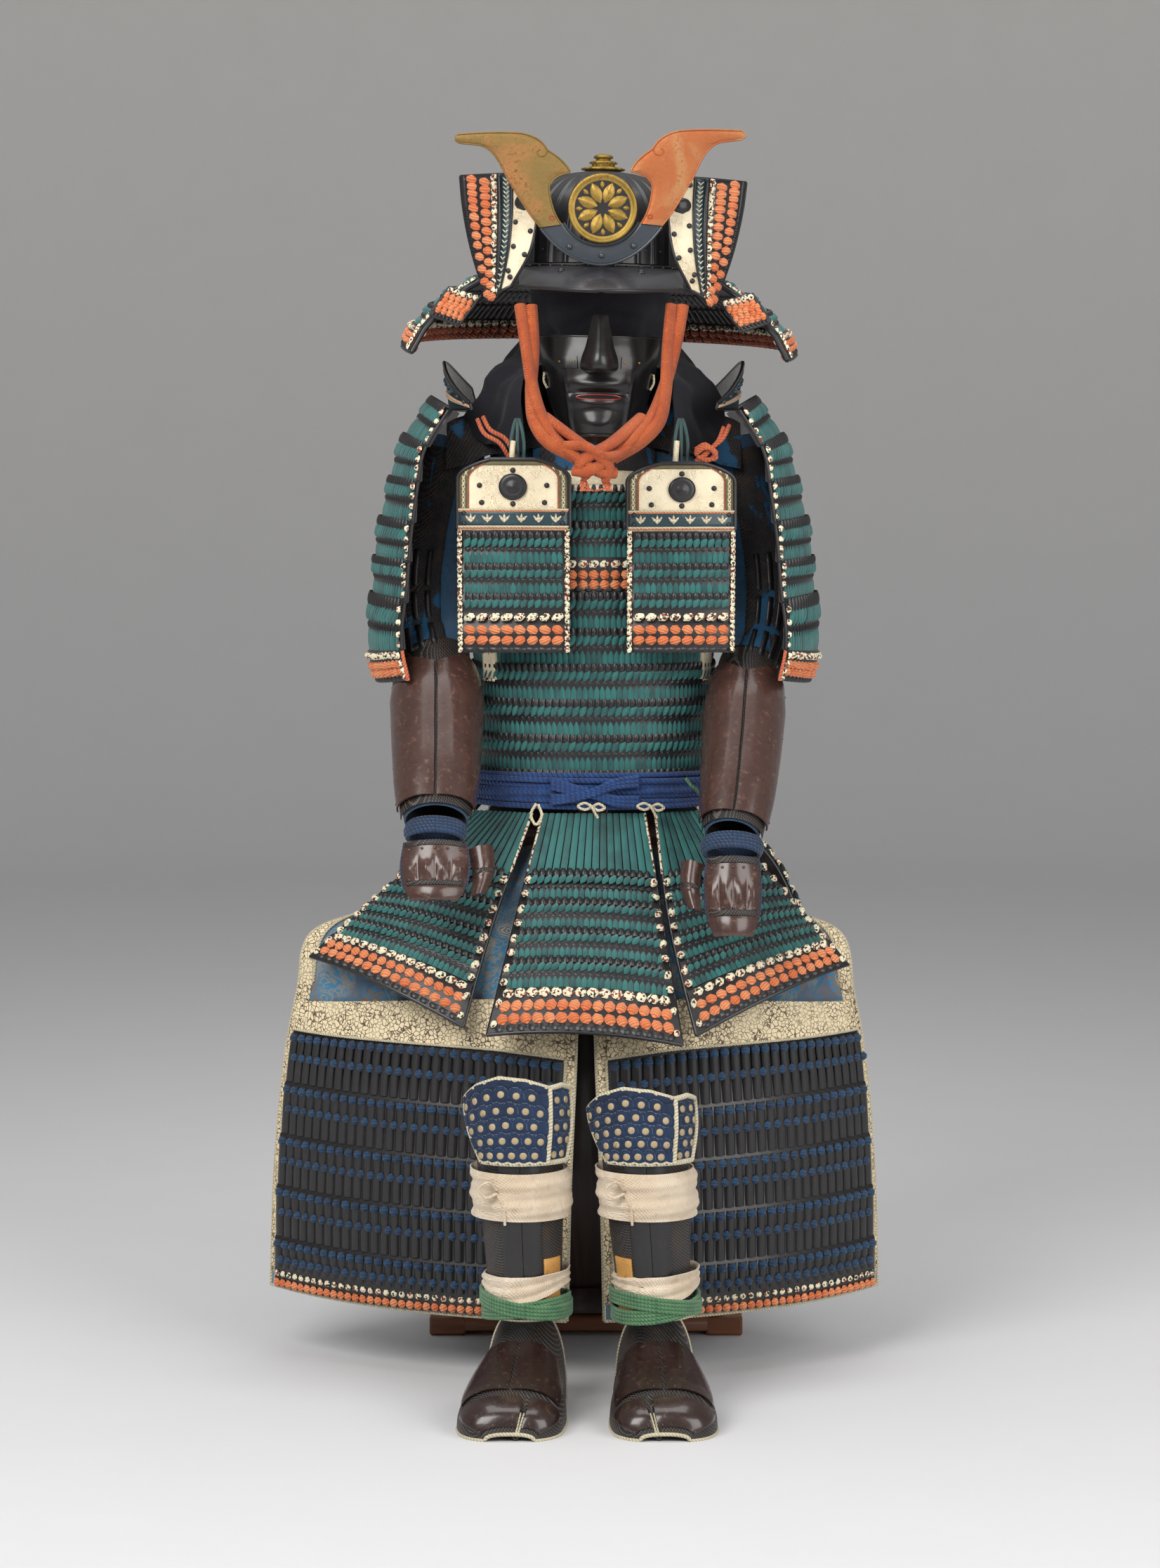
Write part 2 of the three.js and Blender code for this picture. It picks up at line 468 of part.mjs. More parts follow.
// ---- thigh guards -----------------------------------------------------------------------
const THIGH_RIGHT = 0.925; // the right skirt is drawn in a little more than the left
const thigh = hanging({
  left: [[-150, 96, 600], [-240, 56, 556], [-338, 34, 520], [-354, 34, 450], [-369, 40, 376], [-384, 48, 230], [-390, 55, 82]],
  right: [[-12, 2, 640], [-12, -40, 580], [-12, -76, 520], [-12, -100, 462], [-13, -116, 400], [-20, -120, 236], [-24, -120, 72]],
  bow: (t) => 8 + 34 * Math.min(1, t * 1.6),
});
pair(legs, "thigh_cloth", grid(thigh, even(0, 1, 10), 6), CLOTH, BROCADE, THIGH_RIGHT);
const lamesFrom = 0.5;
pair(legs, "thigh_lames", grid(thigh, lameRows(lamesFrom, 0.985, 5, 3).map(([t, out]) => [t, out + LAMED + 1]), 6,
  () => 0.025), LAMED - 0.5, BLACK_LACQUER, THIGH_RIGHT);

// ---- shin and foot guards ---------------------------------------------------------------
const shinTable = [
  { z: 330, rx: 50, ry: 50 }, { z: 262, rx: 49, ry: 54 }, { z: 190, rx: 45, ry: 50 },
  { z: 134, rx: 43, ry: 48 }, { z: 116, rx: 46, ry: 51 },
];
const kneeTable = [
  { z: 400, rx: 58, ry: 44 }, { z: 368, rx: 62, ry: 52 }, { z: 335, rx: 64, ry: 58 }, { z: 297, rx: 61, ry: 60 },
];
const kneeTop = [ // the knee piece rises to a rounded point, with a lower flap on one side
  { f: -80, z: 366 }, { f: -50, z: 384 }, { f: -20, z: 394 }, { f: 10, z: 391 },
  { f: 38, z: 382 }, { f: 60, z: 384 }, { f: 85, z: 378 },
];
const footTable = [
  { y: -222, half: 46, top: 112, toeOut: 0 }, { y: -256, half: 47, top: 104, toeOut: 0.1 },
  { y: -292, half: 52, top: 86, toeOut: 0.4 }, { y: -330, half: 59, top: 66, toeOut: 0.7 },
  { y: -372, half: 61, top: 50, toeOut: 1 }, { y: -405, half: 55, top: 37, toeOut: 1 },
  { y: -422, half: 43, top: 26, toeOut: 1 }, { y: -430, half: 28, top: 9, toeOut: 1 },
];
const legAxis = {
  left: { foot: -70, knee: -80, toe: -87, rise: 0 }, right: { foot: 80, knee: 62, toe: 88, rise: -12 },
};
for (const [side, { foot, knee, toe, rise }] of Object.entries(legAxis)) {
  const axis = (z) => mix(foot, knee, (z - 110) / 270);
  const row = (r, out = 0) => ({ x: axis(r.z), y: -272, z: r.z, rx: r.rx + out, ry: r.ry + out });
  add(legs, "shin_guard_" + side, wall(shinTable.map((r) => arc(row(r), -112, 112, 12)), IRON), BLACK_LACQUER);
  const kneeRows = [0, 0.25, 0.5, 0.75, 1].map((t) => Array.from({ length: 13 }, (_, j) => {
    const z = mix(at(kneeTop, "f", mix(-80, 85, j / 12)).z + rise, 298, t);
    return oval(row({ ...at(kneeTable, "z", z), z }), mix(mix(-80, -46, t), mix(85, 62, t), j / 12));
  }));
  add(legs, "knee_guard_" + side, wall(kneeRows, QUILT), NAVY_QUILT);
  const tie = [286, 258, 231].map((z, i) => arc(row({ z, rx: 53.5 + (i % 2), ry: 58 + (i % 2) }), 0, 337.5, 15));
  add(legs, "linen_tie_" + side, wall(tie, 1.6, true), LINEN);
  add(legs, "foot_guard_" + side, wall(footTable.map((r) => Array.from({ length: 10 }, (_, j) => {
    const f = mix(-90, 90, j / 9) * deg;
    return V(mix(foot, toe, r.toeOut) + r.half * signedPower(Math.sin(f), 0.85), r.y, 1 + (r.top - 1) * Math.cos(f) ** 0.75);
  })), IRON), paint(0x2d1c18, 0.35));
}

// ---- wooden stand -----------------------------------------------------------------------
const wasm = await Module();
wasm.setup();
const block = (x0, x1, y0, y1, z0, z1) =>
  wasm.Manifold.cube([x1 - x0, y1 - y0, z1 - z0]).translate([x0, y0, z0]);
function solid(shape) {
  const { vertProperties, triVerts, numProp } = shape.getMesh();
  const points = [];
  for (let i = 0; i < vertProperties.length; i += numProp)
    points.push(V(vertProperties[i], vertProperties[i + 1], vertProperties[i + 2]));
  return geometry(points, [...triVerts]);
}
const { halfX, y0, y1, z: baseZ, foot } = BASE;
add(legs, "stand_base", solid(block(-halfX, halfX, y0, y1, 5, baseZ)
  .add(block(-halfX, -halfX + foot, y0, y1, 0, baseZ)).add(block(halfX - foot, halfX, y0, y1, 0, baseZ))), WOOD);
const c = CHEST_BOX, b = CHEST_BOX.board;
add(legs, "stand_box", solid(block(-c.halfX, c.halfX, c.y0, c.y1, c.z0, c.z1)
  .add(block(-c.halfX - 4, c.halfX + 4, c.y0 - 4, c.y1 + 4, c.z1 - 60, c.z1 - 54))
  .add(block(-c.halfX - 4, c.halfX + 4, c.y0 - 4, c.y1 + 4, c.z0, c.z0 + 34))
  .subtract(block(-c.halfX + b, c.halfX - b, c.y0 + b, c.y1 - b, c.z0 - 1, c.z1 - b))), DARK_WOOD);
add(torso, "stand_post", solid(block(-18, 18, 160, 196, c.z1 + 0.4, 1096)
  .add(block(-116, 116, 106, 190, 1078, 1096))), WOOD);
add(torso, "stand_head", turned(9, 76, [[12, 1398], [38, 1388], [56, 1358], [62, 1310, 68], [60, 1262, 66],
  [46, 1218, 50], [26, 1190, 28, -3, 20], [24, 1150, 24, -6, 40], [24, 1096.4, 24, -9, 54]], 14), WOOD);

export default armour;
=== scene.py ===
# Samurai armour laced over its wooden stand: the looks that go on the plain solids.
# Working sizes are millimetres, turned to metres as each piece is made. The armour faces -Y.
import math
import bpy
import numpy as np
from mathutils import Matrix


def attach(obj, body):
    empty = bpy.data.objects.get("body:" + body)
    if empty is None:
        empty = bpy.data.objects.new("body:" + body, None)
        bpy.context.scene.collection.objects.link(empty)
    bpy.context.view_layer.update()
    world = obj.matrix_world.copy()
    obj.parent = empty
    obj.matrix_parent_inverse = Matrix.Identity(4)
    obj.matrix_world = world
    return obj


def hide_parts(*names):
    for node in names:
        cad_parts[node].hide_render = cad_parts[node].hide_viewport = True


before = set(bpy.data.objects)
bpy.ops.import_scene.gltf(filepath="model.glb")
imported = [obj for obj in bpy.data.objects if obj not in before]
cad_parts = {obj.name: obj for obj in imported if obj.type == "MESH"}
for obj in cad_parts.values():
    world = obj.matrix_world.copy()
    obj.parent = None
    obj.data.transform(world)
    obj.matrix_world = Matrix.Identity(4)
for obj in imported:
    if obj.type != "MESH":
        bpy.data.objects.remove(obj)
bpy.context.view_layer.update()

rng = np.random.default_rng(7)
PI = math.pi
HELMET_Y, TORSO_Y, LEG_Y = 85, 125, -272  # upright axes of the helmet, the cuirass and the shins
CENTRE_X = 14.5  # the legs' middle, from the middle of the whole part
GROUPS = {  # sideways offset and roll of each group about y, as in the solids
    "helmet": (18, 0.022), "crest": (18, -0.012), "torso": (9, 0), "legs": (0, 0), "free": (0, 0),
}
PIVOT_Z = 1330  # height that the helmet and the crest roll about


def srgb(r, g, b):
    """A linear colour from the 0 to 255 values of a picture."""
    return tuple(((c / 255 + 0.055) / 1.055) ** 2.4 if c > 10 else c / 255 / 12.92 for c in (r, g, b)) + (1,)


def scaled(c, r, g, b):
    return c[0] * r, c[1] * g, c[2] * b, 1


# ---- shader building --------------------------------------------------------------------
class Value:
    """One number of a shader, with ordinary arithmetic."""

    def __init__(self, shader, socket):
        self.shader, self.socket = shader, socket

    def op(self, kind, *others):
        node = self.shader.tree.nodes.new("ShaderNodeMath")
        node.operation = kind
        for i, v in enumerate((self, *others)):
            self.shader.feed(node.inputs[i], v)
        return Value(self.shader, node.outputs[0])

    def __add__(self, o): return self.op("ADD", o)
    def __sub__(self, o): return self.op("SUBTRACT", o)
    def __mul__(self, o): return self.op("MULTIPLY", o)
    def __truediv__(self, o): return self.op("DIVIDE", o)
    def __rsub__(self, o): return (self * -1) + o
    __radd__, __rmul__ = __add__, __mul__
    def sin(self): return self.op("SINE")
    def abs(self): return self.op("ABSOLUTE")


class Shader:
    def __init__(self, name):
        self.material = bpy.data.materials.new(name)
        self.material.use_nodes = True
        self.tree = self.material.node_tree
        self.tree.nodes.clear()
        self.body = self.tree.nodes.new("ShaderNodeBsdfPrincipled")
        out = self.tree.nodes.new("ShaderNodeOutputMaterial")
        self.tree.links.new(self.body.outputs[0], out.inputs[0])

    def feed(self, socket, v):
        if isinstance(v, Value):
            self.tree.links.new(v.socket, socket)
        else:
            socket.default_value = v

    def node(self, kind, output=0, settings=None, **inputs):
        n = self.tree.nodes.new("ShaderNode" + kind)
        for k, v in (settings or {}).items():
            setattr(n, k, v)
        for k, v in inputs.items():
            self.feed(n.inputs[int(k[1:])] if k[0] == "i" and k[1:].isdigit() else n.inputs[k.replace("_", " ")], v)
        return Value(self, n.outputs[output])

    def place(self, scale=(1, 1, 1), kind="object", turn=(0, 0, 0)):
        if kind == "object":
            v = self.node("TexCoord", "Object")
        else:
            v = self.node("UVMap")
        return self.node("Mapping", Vector=v, Scale=scale, Rotation=turn)

    def split(self, v, axis):
        return self.node("SeparateXYZ", axis, Vector=v)

    def noise(self, at, scale, detail=3.0, rough=0.55, distort=0.0):
        return self.node("TexNoise", "Fac", Vector=at, Scale=scale, Detail=detail, Roughness=rough, Distortion=distort)

    def cells(self, at, scale, feature="F1", output="Distance"):
        return self.node("TexVoronoi", output, {"feature": feature}, Vector=at, Scale=scale)

    def tint(self):
        return self.node("Attribute", "Fac", {"attribute_name": "tint"})

    def ramp(self, fac, stops):
        n = self.tree.nodes.new("ShaderNodeValToRGB")
        e = n.color_ramp.elements
        while len(e) < len(stops):
            e.new(0.5)
        for el, (p, c) in zip(e, stops):
            el.position, el.color = p, c
        self.feed(n.inputs[0], fac)
        return Value(self, n.outputs[0])

    def mix(self, fac, a, b, blend="MIX"):
        n = self.tree.nodes.new("ShaderNodeMix")
        n.data_type, n.blend_type = "RGBA", blend
        self.feed(n.inputs[0], fac)
        self.feed(n.inputs[6], a)
        self.feed(n.inputs[7], b)
        return Value(self, n.outputs[2])

    def smooth(self, v, lo, hi):
        return self.node("MapRange", 0, {"interpolation_type": "SMOOTHSTEP"}, Value=v, From_Min=lo, From_Max=hi)

    def rings(self, at, pitch, lo, hi):
        """A net of small mail rings."""
        x, y, z = (self.split(at, i) for i in range(3))
        a, b = ((x + y * 0.6) * pitch).sin(), ((z - y * 0.6) * pitch).sin()
        return self.smooth((a * a + b * b - 1.0).abs(), lo, hi)

    def finish(self, color, rough=0.5, metal=0.0, bump=None, depth=0.0005, coat=0.0, sheen=0.0):
        b = self.body.inputs
        self.feed(b["Base Color"], color)
        self.feed(b["Roughness"], rough)
        self.feed(b["Metallic"], metal)
        self.feed(b["Coat Weight"], coat)
        b["Coat Roughness"].default_value = 0.12
        b["Sheen Weight"].default_value = sheen
        if bump is not None:
            n = self.node("Bump", 0, None, Height=bump, Distance=depth, Strength=1.0)
            self.tree.links.new(n.socket, b["Normal"])
        return self.material


def woven_silk(name, c0, c1, sheen=0.3, rough=0.62):
    """Flat braid: a fine herringbone across it, its shade a little different from lace to lace."""
    s = Shader(name)
    uv = s.place(kind="uv")
    u, v = s.split(uv, 0), s.split(uv, 1)
    grain = ((v * 4200) + (u * 2600).abs()).sin() * 0.5 + 0.5
    obj = s.place()
    patch = s.noise(obj, 45, 3)
    col = s.mix(s.smooth(patch + s.tint() * 0.45, 0.35, 0.95), c0, c1)
    col = s.mix(grain * 0.35, col, (0.004, 0.01, 0.01, 1))
    return s.finish(col, rough, 0, grain, 0.0005, sheen=sheen)


def twisted_cord(name, c0, c1, twist=900.0, sheen=0.2, depth=0.0008, rough=0.7):
    """Round cord: strands run slantwise round it."""
    s = Shader(name)
    uv = s.place(kind="uv")
    u, v = s.split(uv, 0), s.split(uv, 1)
    strand = ((v * twist) + (u * 4 * PI)).sin() * 0.5 + 0.5
    fine = s.noise(s.place(), 900, 3)
    col = s.mix(s.smooth(s.noise(s.place(), 60, 4) + s.tint() * 0.4, 0.3, 1.0), c0, c1)
    # Where the strands dip between each other the colour is painted darker: painted shade in the grooves.
    col = s.mix((1 - strand) * 0.45, col, scaled(c0, 0.3, 0.3, 0.3))
    return s.finish(col, rough, 0, strand + fine * 0.5, depth, sheen=sheen)


def lacquer(name, c0, c1, rough=0.22, wear=0.0, worn=(0.1, 0.06, 0.04, 1), coat=0.5, lumps=0.3):
    """Lacquer, rubbed through to another colour in small spots."""
    s = Shader(name)
    obj = s.place()
    soft = s.noise(obj, 30, 4)
    spots = s.smooth(s.noise(obj, 140, 6, 0.7), 0.62 - wear * 0.2, 0.7)
    col = s.mix(soft, c0, c1)
    col = s.mix(spots * min(1.0, wear * 2), col, worn)
    r = s.noise(obj, 90, 5) * 0.16 + (rough - 0.06) + spots * 0.25 * wear
    return s.finish(col, r, 0, s.noise(obj, 60, 3) * lumps + spots * -0.2 * wear, 0.0006, coat=coat)


def metal(name, c0, c1, rough=0.4, spots=0.4, scale=60.0, depth=0.0004):
    """Old gilt with cloudy patches and dark spots."""
    s = Shader(name)
    obj = s.place()
    big = s.noise(obj, scale * 0.3, 5, 0.65, 0.6)
    fine = s.noise(obj, scale * 4, 6, 0.7)
    col = s.mix(s.smooth(big, 0.38, 0.68), c0, c1)
    dark = s.smooth(fine + big * 0.6, 0.92 - spots * 0.2, 1.1)
    col = s.mix(dark * 0.7, col, scaled(c0, 0.25, 0.2, 0.15))
    return s.finish(col, fine * 0.25 + (rough - 0.08) + dark * 0.2, 0.95, fine + big, depth)


def cloth(name, c0, c1, scale=1500.0, sheen=0.3, fade=None, depth=0.0003, big=12.0, rough=0.88):
    """Plain weave with soft fading; fade is the colour of its worn places."""
    s = Shader(name)
    obj = s.place()
    x, y, z = (s.split(obj, i) for i in range(3))
    weave = ((x + y) * scale * 2).sin() * (z * scale * 2).sin() * 0.5 + 0.5
    soft = s.noise(obj, big, 5, 0.6)
    col = s.mix(s.smooth(soft, 0.3, 0.7), c0, c1)
    if fade:
        worn = s.smooth(s.noise(obj, big * 5, 6, 0.7, 0.5), 0.52, 0.72)
        col = s.mix(worn * 0.75, col, fade)
    col = s.mix(weave * 0.15, col, (0, 0, 0, 1))
    return s.finish(col, rough, 0, weave + s.noise(obj, 300, 4) * 0.8, depth, sheen=sheen)


def printed_leather(name, ground, leaf, scale=95.0, cover=0.5):
    """Pale leather with a small all-over print of curling lines."""
    s = Shader(name)
    obj = s.place()
    wander = s.noise(obj, scale * 0.8, 2, 0.5, 1.6)
    line = s.smooth(((wander * 46).sin()).abs(), 0.0, 0.62)
    clump = s.smooth(s.noise(obj, scale * 0.35, 3), 0.5 - cover * 0.2, 0.62)
    ink = (1 - line) * clump
    col = s.mix(ink * 0.8, ground, leaf)
    soil = s.smooth(s.noise(obj, 14, 5, 0.6), 0.4, 0.75)
    col = s.mix(soil * 0.3, col, scaled(ground, 0.62, 0.5, 0.35))
    return s.finish(col, 0.68, 0, s.noise(obj, 500, 4) * 0.6 + ink * -0.5, 0.0004)


def crackled(name, ground, line):
    """Pale leather printed with a close net of dark branching lines."""
    s = Shader(name)
    obj = s.place()
    bent = s.node("VectorMath", 0, {"operation": "MULTIPLY_ADD"},
                  i0=s.node("TexNoise", "Color", None, Vector=obj, Scale=90.0),
                  i1=(0.008, 0.008, 0.008), i2=obj)
    net = s.smooth(s.cells(bent, 190, "DISTANCE_TO_EDGE"), 0.105, 0.04)
    fade = s.smooth(s.noise(obj, 30, 4), 0.3, 0.6)
    col = s.mix(net * (fade * 0.5 + 0.45), ground, line)
    col = s.mix(s.smooth(s.noise(obj, 12, 5), 0.5, 0.8) * 0.3, col, scaled(line, 3, 3, 2))
    return s.finish(col, 0.7, 0, net * -0.6 + s.noise(obj, 500, 3) * 0.4, 0.0004)


def mailed(name):
    """Indigo cloth under dark mail, the mail worn away or stopping in places."""
    s = Shader(name)
    obj = s.place()
    ring = s.rings(obj, 800, 0.6, 0.12)
    tall = s.place((1, 1, 0.32))
    bare = s.smooth(s.noise(tall, 26, 4, 0.6, 0.5), 0.53, 0.58)
    blue = s.mix(s.noise(obj, 30, 4), srgb(20, 66, 100), srgb(34, 96, 136))
    dark = s.mix(s.noise(obj, 40, 4), srgb(20, 22, 30), srgb(44, 38, 36))
    iron = s.mix(s.smooth(s.noise(obj, 60, 4), 0.4, 0.7), srgb(52, 52, 56), srgb(86, 70, 62))
    col = s.mix(bare, s.mix(ring, dark, iron), blue)
    return s.finish(col, 0.75, 0, ring * (1 - bare * 0.85) + s.noise(obj, 400, 3) * 0.3, 0.0014)


def speckled(name, ground, flecks):
    """Ivory braid with flecks of coloured threads."""
    s = Shader(name)
    obj = s.place()
    cell = s.cells(obj, 420)
    pick = s.node("TexVoronoi", "Color", {"feature": "F1"}, Vector=obj, Scale=420.0)
    which = s.split(pick, 0)
    fleck = s.ramp(which, [(0.0, flecks[0]), (0.4, flecks[1]), (0.7, flecks[2])])
    col = s.mix(s.smooth(s.split(pick, 1), 0.6, 0.66), ground, fleck)
    return s.finish(col, 0.75, 0, 1 - cell, 0.0006, sheen=0.1)


def wood(name, c0, c1, rough=0.45, scale=26.0, coat=0.15, upright=True):
    """Wood with its grain running up, or along x."""
    s = Shader(name)
    obj = s.place((1, 1, 0.06) if upright else (0.06, 1, 1))
    ring = (s.noise(obj, scale, 4, 0.6, 1.2) * 22).sin() * 0.5 + 0.5
    pore = s.noise(obj, scale * 14, 4, 0.7)
    col = s.mix(ring * 0.75 + pore * 0.25, c0, c1)
    col = s.mix(s.smooth(pore, 0.55, 0.72) * 0.5, col, scaled(c0, 0.3, 0.3, 0.3))
    return s.finish(col, pore * 0.2 + (rough - 0.1), 0, pore + ring * 0.3, 0.0003, coat=coat)


def chain_mail(name, c0, c1):
    """Small iron rings sewn on dark cloth."""
    s = Shader(name)
    obj = s.place()
    ring = s.rings(obj, 850, 0.55, 0.1)
    rust = s.smooth(s.noise(obj, 40, 5), 0.45, 0.7)
    col = s.mix(ring, c0, s.mix(rust, srgb(92, 88, 86), c1))
    return s.finish(col, 0.5, ring * 0.15, ring, 0.0018)


def brocade(name):
    """Woven flowers and curling leaves in blue, brown and straw on a slate ground."""
    s = Shader(name)
    obj = s.place()
    flow = s.node("TexNoise", "Color", None, Vector=obj, Scale=16.0, Detail=2.0, Distortion=1.0)
    bent = s.node("VectorMath", 0, {"operation": "MULTIPLY_ADD"}, i0=flow, i1=(0.035, 0.035, 0.035), i2=obj)
    cell = s.cells(bent, 22)
    petal = ((cell * 95).sin()) * 0.5 + 0.5
    wander = (s.noise(obj, 34, 2, 0.5, 2.2) * 34).sin()
    blue, slate = srgb(56, 126, 168), srgb(128, 134, 134)
    brown, straw, deep = srgb(134, 104, 76), srgb(206, 184, 146), srgb(62, 92, 120)
    col = s.mix(s.smooth(s.noise(obj, 11, 2), 0.42, 0.52), brown, slate)
    col = s.mix(s.smooth(wander, 0.0, 0.3), col, blue)
    col = s.mix(s.smooth(petal, 0.62, 0.8) * s.smooth(cell, 0.34, 0.2), col, straw)
    col = s.mix(s.smooth(cell, 0.6, 0.7) * 0.6, col, deep)
    weave = (s.split(obj, 2) * 3200).sin() * ((s.split(obj, 0) + s.split(obj, 1)) * 2600).sin() * 0.5 + 0.5
    return s.finish(s.mix(weave * 0.12, col, (0.01, 0.01, 0.012, 1)), 0.7, 0, weave + petal * 0.5, 0.0004, sheen=0.25)


TEAL, TEAL_DARK = srgb(42, 128, 124), srgb(22, 88, 88)
M = {
    "teal": woven_silk("teal_silk", TEAL_DARK, TEAL),
    "black": lacquer("black_lacquer", srgb(23, 22, 24), srgb(39, 37, 40), 0.38, 0.15, coat=0.12),
    # The brim's lacquer is a lighter copy of the black lacquer: painted light for the soft light falling on the brim.
    "brim": lacquer("brim_lit_lacquer", srgb(38, 38, 42), srgb(56, 55, 60), 0.3, 0.25, srgb(84, 80, 78), 0.4),
    "gloss": lacquer("mask_lacquer", srgb(17, 16, 18), srgb(27, 26, 28), 0.33, 0.05, coat=0.25, lumps=0.15),
    "brown": lacquer("brown_lacquer", srgb(34, 21, 19), srgb(52, 34, 30), 0.26, 0.35, srgb(92, 66, 52), coat=0.5),
    "inside": lacquer("inner_lacquer", srgb(46, 28, 26), srgb(70, 42, 36), 0.35, 0.5, srgb(30, 22, 20)),
    "horn_gold": metal("horn_gilt", srgb(134, 114, 70), srgb(168, 120, 78), 0.5, 0.3, 60),
    "horn_copper": metal("horn_copper_gilt", srgb(176, 106, 68), srgb(186, 138, 96), 0.5, 0.3, 60),
    "gold": metal("worn_gilt", srgb(150, 124, 62), srgb(176, 144, 76), 0.44, 0.5),
    "crest_iron": lacquer("crest_iron", srgb(40, 46, 54), srgb(58, 66, 76), 0.4, 0.2, srgb(90, 92, 94)),
    "russet": lacquer("russet_iron", srgb(54, 36, 33), srgb(82, 56, 49), 0.26, 0.45, srgb(108, 76, 58), coat=0.4),
    "orange": twisted_cord("orange_knots", srgb(226, 114, 58), srgb(246, 156, 104), 1800.0),
    "rust": twisted_cord("rust_knots", srgb(168, 74, 40), srgb(204, 104, 62), 1800.0),
    "orange_cloth": cloth("orange_cloth", srgb(190, 82, 34), srgb(216, 106, 50), 1300.0, 0.12, srgb(224, 128, 74),
                          0.0014, 30.0),
    "orange_cord": twisted_cord("orange_cord", srgb(196, 86, 48), srgb(226, 118, 74), 1500.0),
    "ivory": speckled("ivory_braid", srgb(234, 228, 198), (srgb(40, 60, 40), srgb(30, 30, 34), srgb(150, 60, 40))),
    "cream": twisted_cord("cream_cord", srgb(214, 200, 166), srgb(236, 224, 194), 1400.0),
    "leather": printed_leather("printed_leather", srgb(242, 230, 200), srgb(150, 110, 66), 70.0, 0.8),
    "band": crackled("banded_leather", srgb(236, 219, 182), srgb(70, 50, 38)),
    "mailed": mailed("mailed_sleeve"),
    "olive": lacquer("olive_border", srgb(92, 84, 56), srgb(116, 106, 74), 0.55, 0.3, srgb(60, 54, 40), coat=0.0),
    "peach": twisted_cord("peach_piping", srgb(226, 160, 116), srgb(240, 190, 150), 1600.0),
    "indigo": lacquer("indigo_band", srgb(24, 46, 54), srgb(38, 68, 78), 0.4, 0.3, srgb(90, 110, 108), coat=0.2),
    "navy": cloth("navy_cloth", srgb(13, 13, 22), srgb(24, 24, 36), 1200.0, 0.12, None, 0.0004, 6.0),
    "blue": cloth("blue_cloth", srgb(22, 66, 98), srgb(34, 92, 130), 1100.0, 0.3, srgb(18, 30, 44), 0.0006, 22.0),
    "cobalt": twisted_cord("cobalt_cord", srgb(10, 46, 104), srgb(20, 78, 150), 1000.0, depth=0.0018),
    "wrist": twisted_cord("navy_cord", srgb(10, 38, 68), srgb(22, 60, 100), 1300.0),
    "stitch": twisted_cord("pale_stitches", srgb(92, 110, 140), srgb(130, 144, 166), 1800.0),
    "knots": twisted_cord("blue_knots", srgb(8, 42, 72), srgb(16, 66, 104), 1600.0),
    "quilt": cloth("navy_quilting", srgb(13, 32, 60), srgb(20, 48, 82), 1300.0, 0.12, srgb(36, 62, 94), 0.0005, 20.0),
    "piping": twisted_cord("ivory_piping", srgb(200, 188, 154), srgb(226, 216, 188), 1600.0),
    "linen": cloth("linen", srgb(214, 194, 168), srgb(236, 220, 198), 900.0, 0.2, srgb(196, 168, 138), 0.0007, 16.0),
    "tan": printed_leather("tan_leather", srgb(196, 146, 78), srgb(150, 98, 48), 60.0, 0.2),
    "disc": lacquer("gilt_disc", srgb(150, 130, 98), srgb(186, 166, 130), 0.5, 0.4, srgb(96, 78, 56), coat=0.1),
    "green": twisted_cord("green_cord", srgb(62, 112, 78), srgb(98, 146, 100), 1500.0),
    "mail": chain_mail("iron_mail", srgb(22, 20, 21), srgb(112, 92, 78)),
    "brocade": brocade("flowered_brocade"),
    "wood": wood("stand_wood", srgb(98, 54, 34), srgb(140, 84, 54)),
    "rail": wood("base_wood", srgb(126, 74, 46), srgb(166, 108, 70), upright=False),
    "chest": wood("chest_wood", srgb(36, 22, 18), srgb(62, 38, 30), 0.4, 30.0, 0.3),
    "red": lacquer("red_edge", srgb(120, 30, 22), srgb(150, 44, 30), 0.3),
    # Near-black: the lining inside the plates, and also painted shadow in the mouth slot and behind the tasset lacing.
    "shadow": lacquer("dark_lining_and_painted_shadow", srgb(10, 9, 11), srgb(16, 15, 18), 0.7, coat=0.0),
}


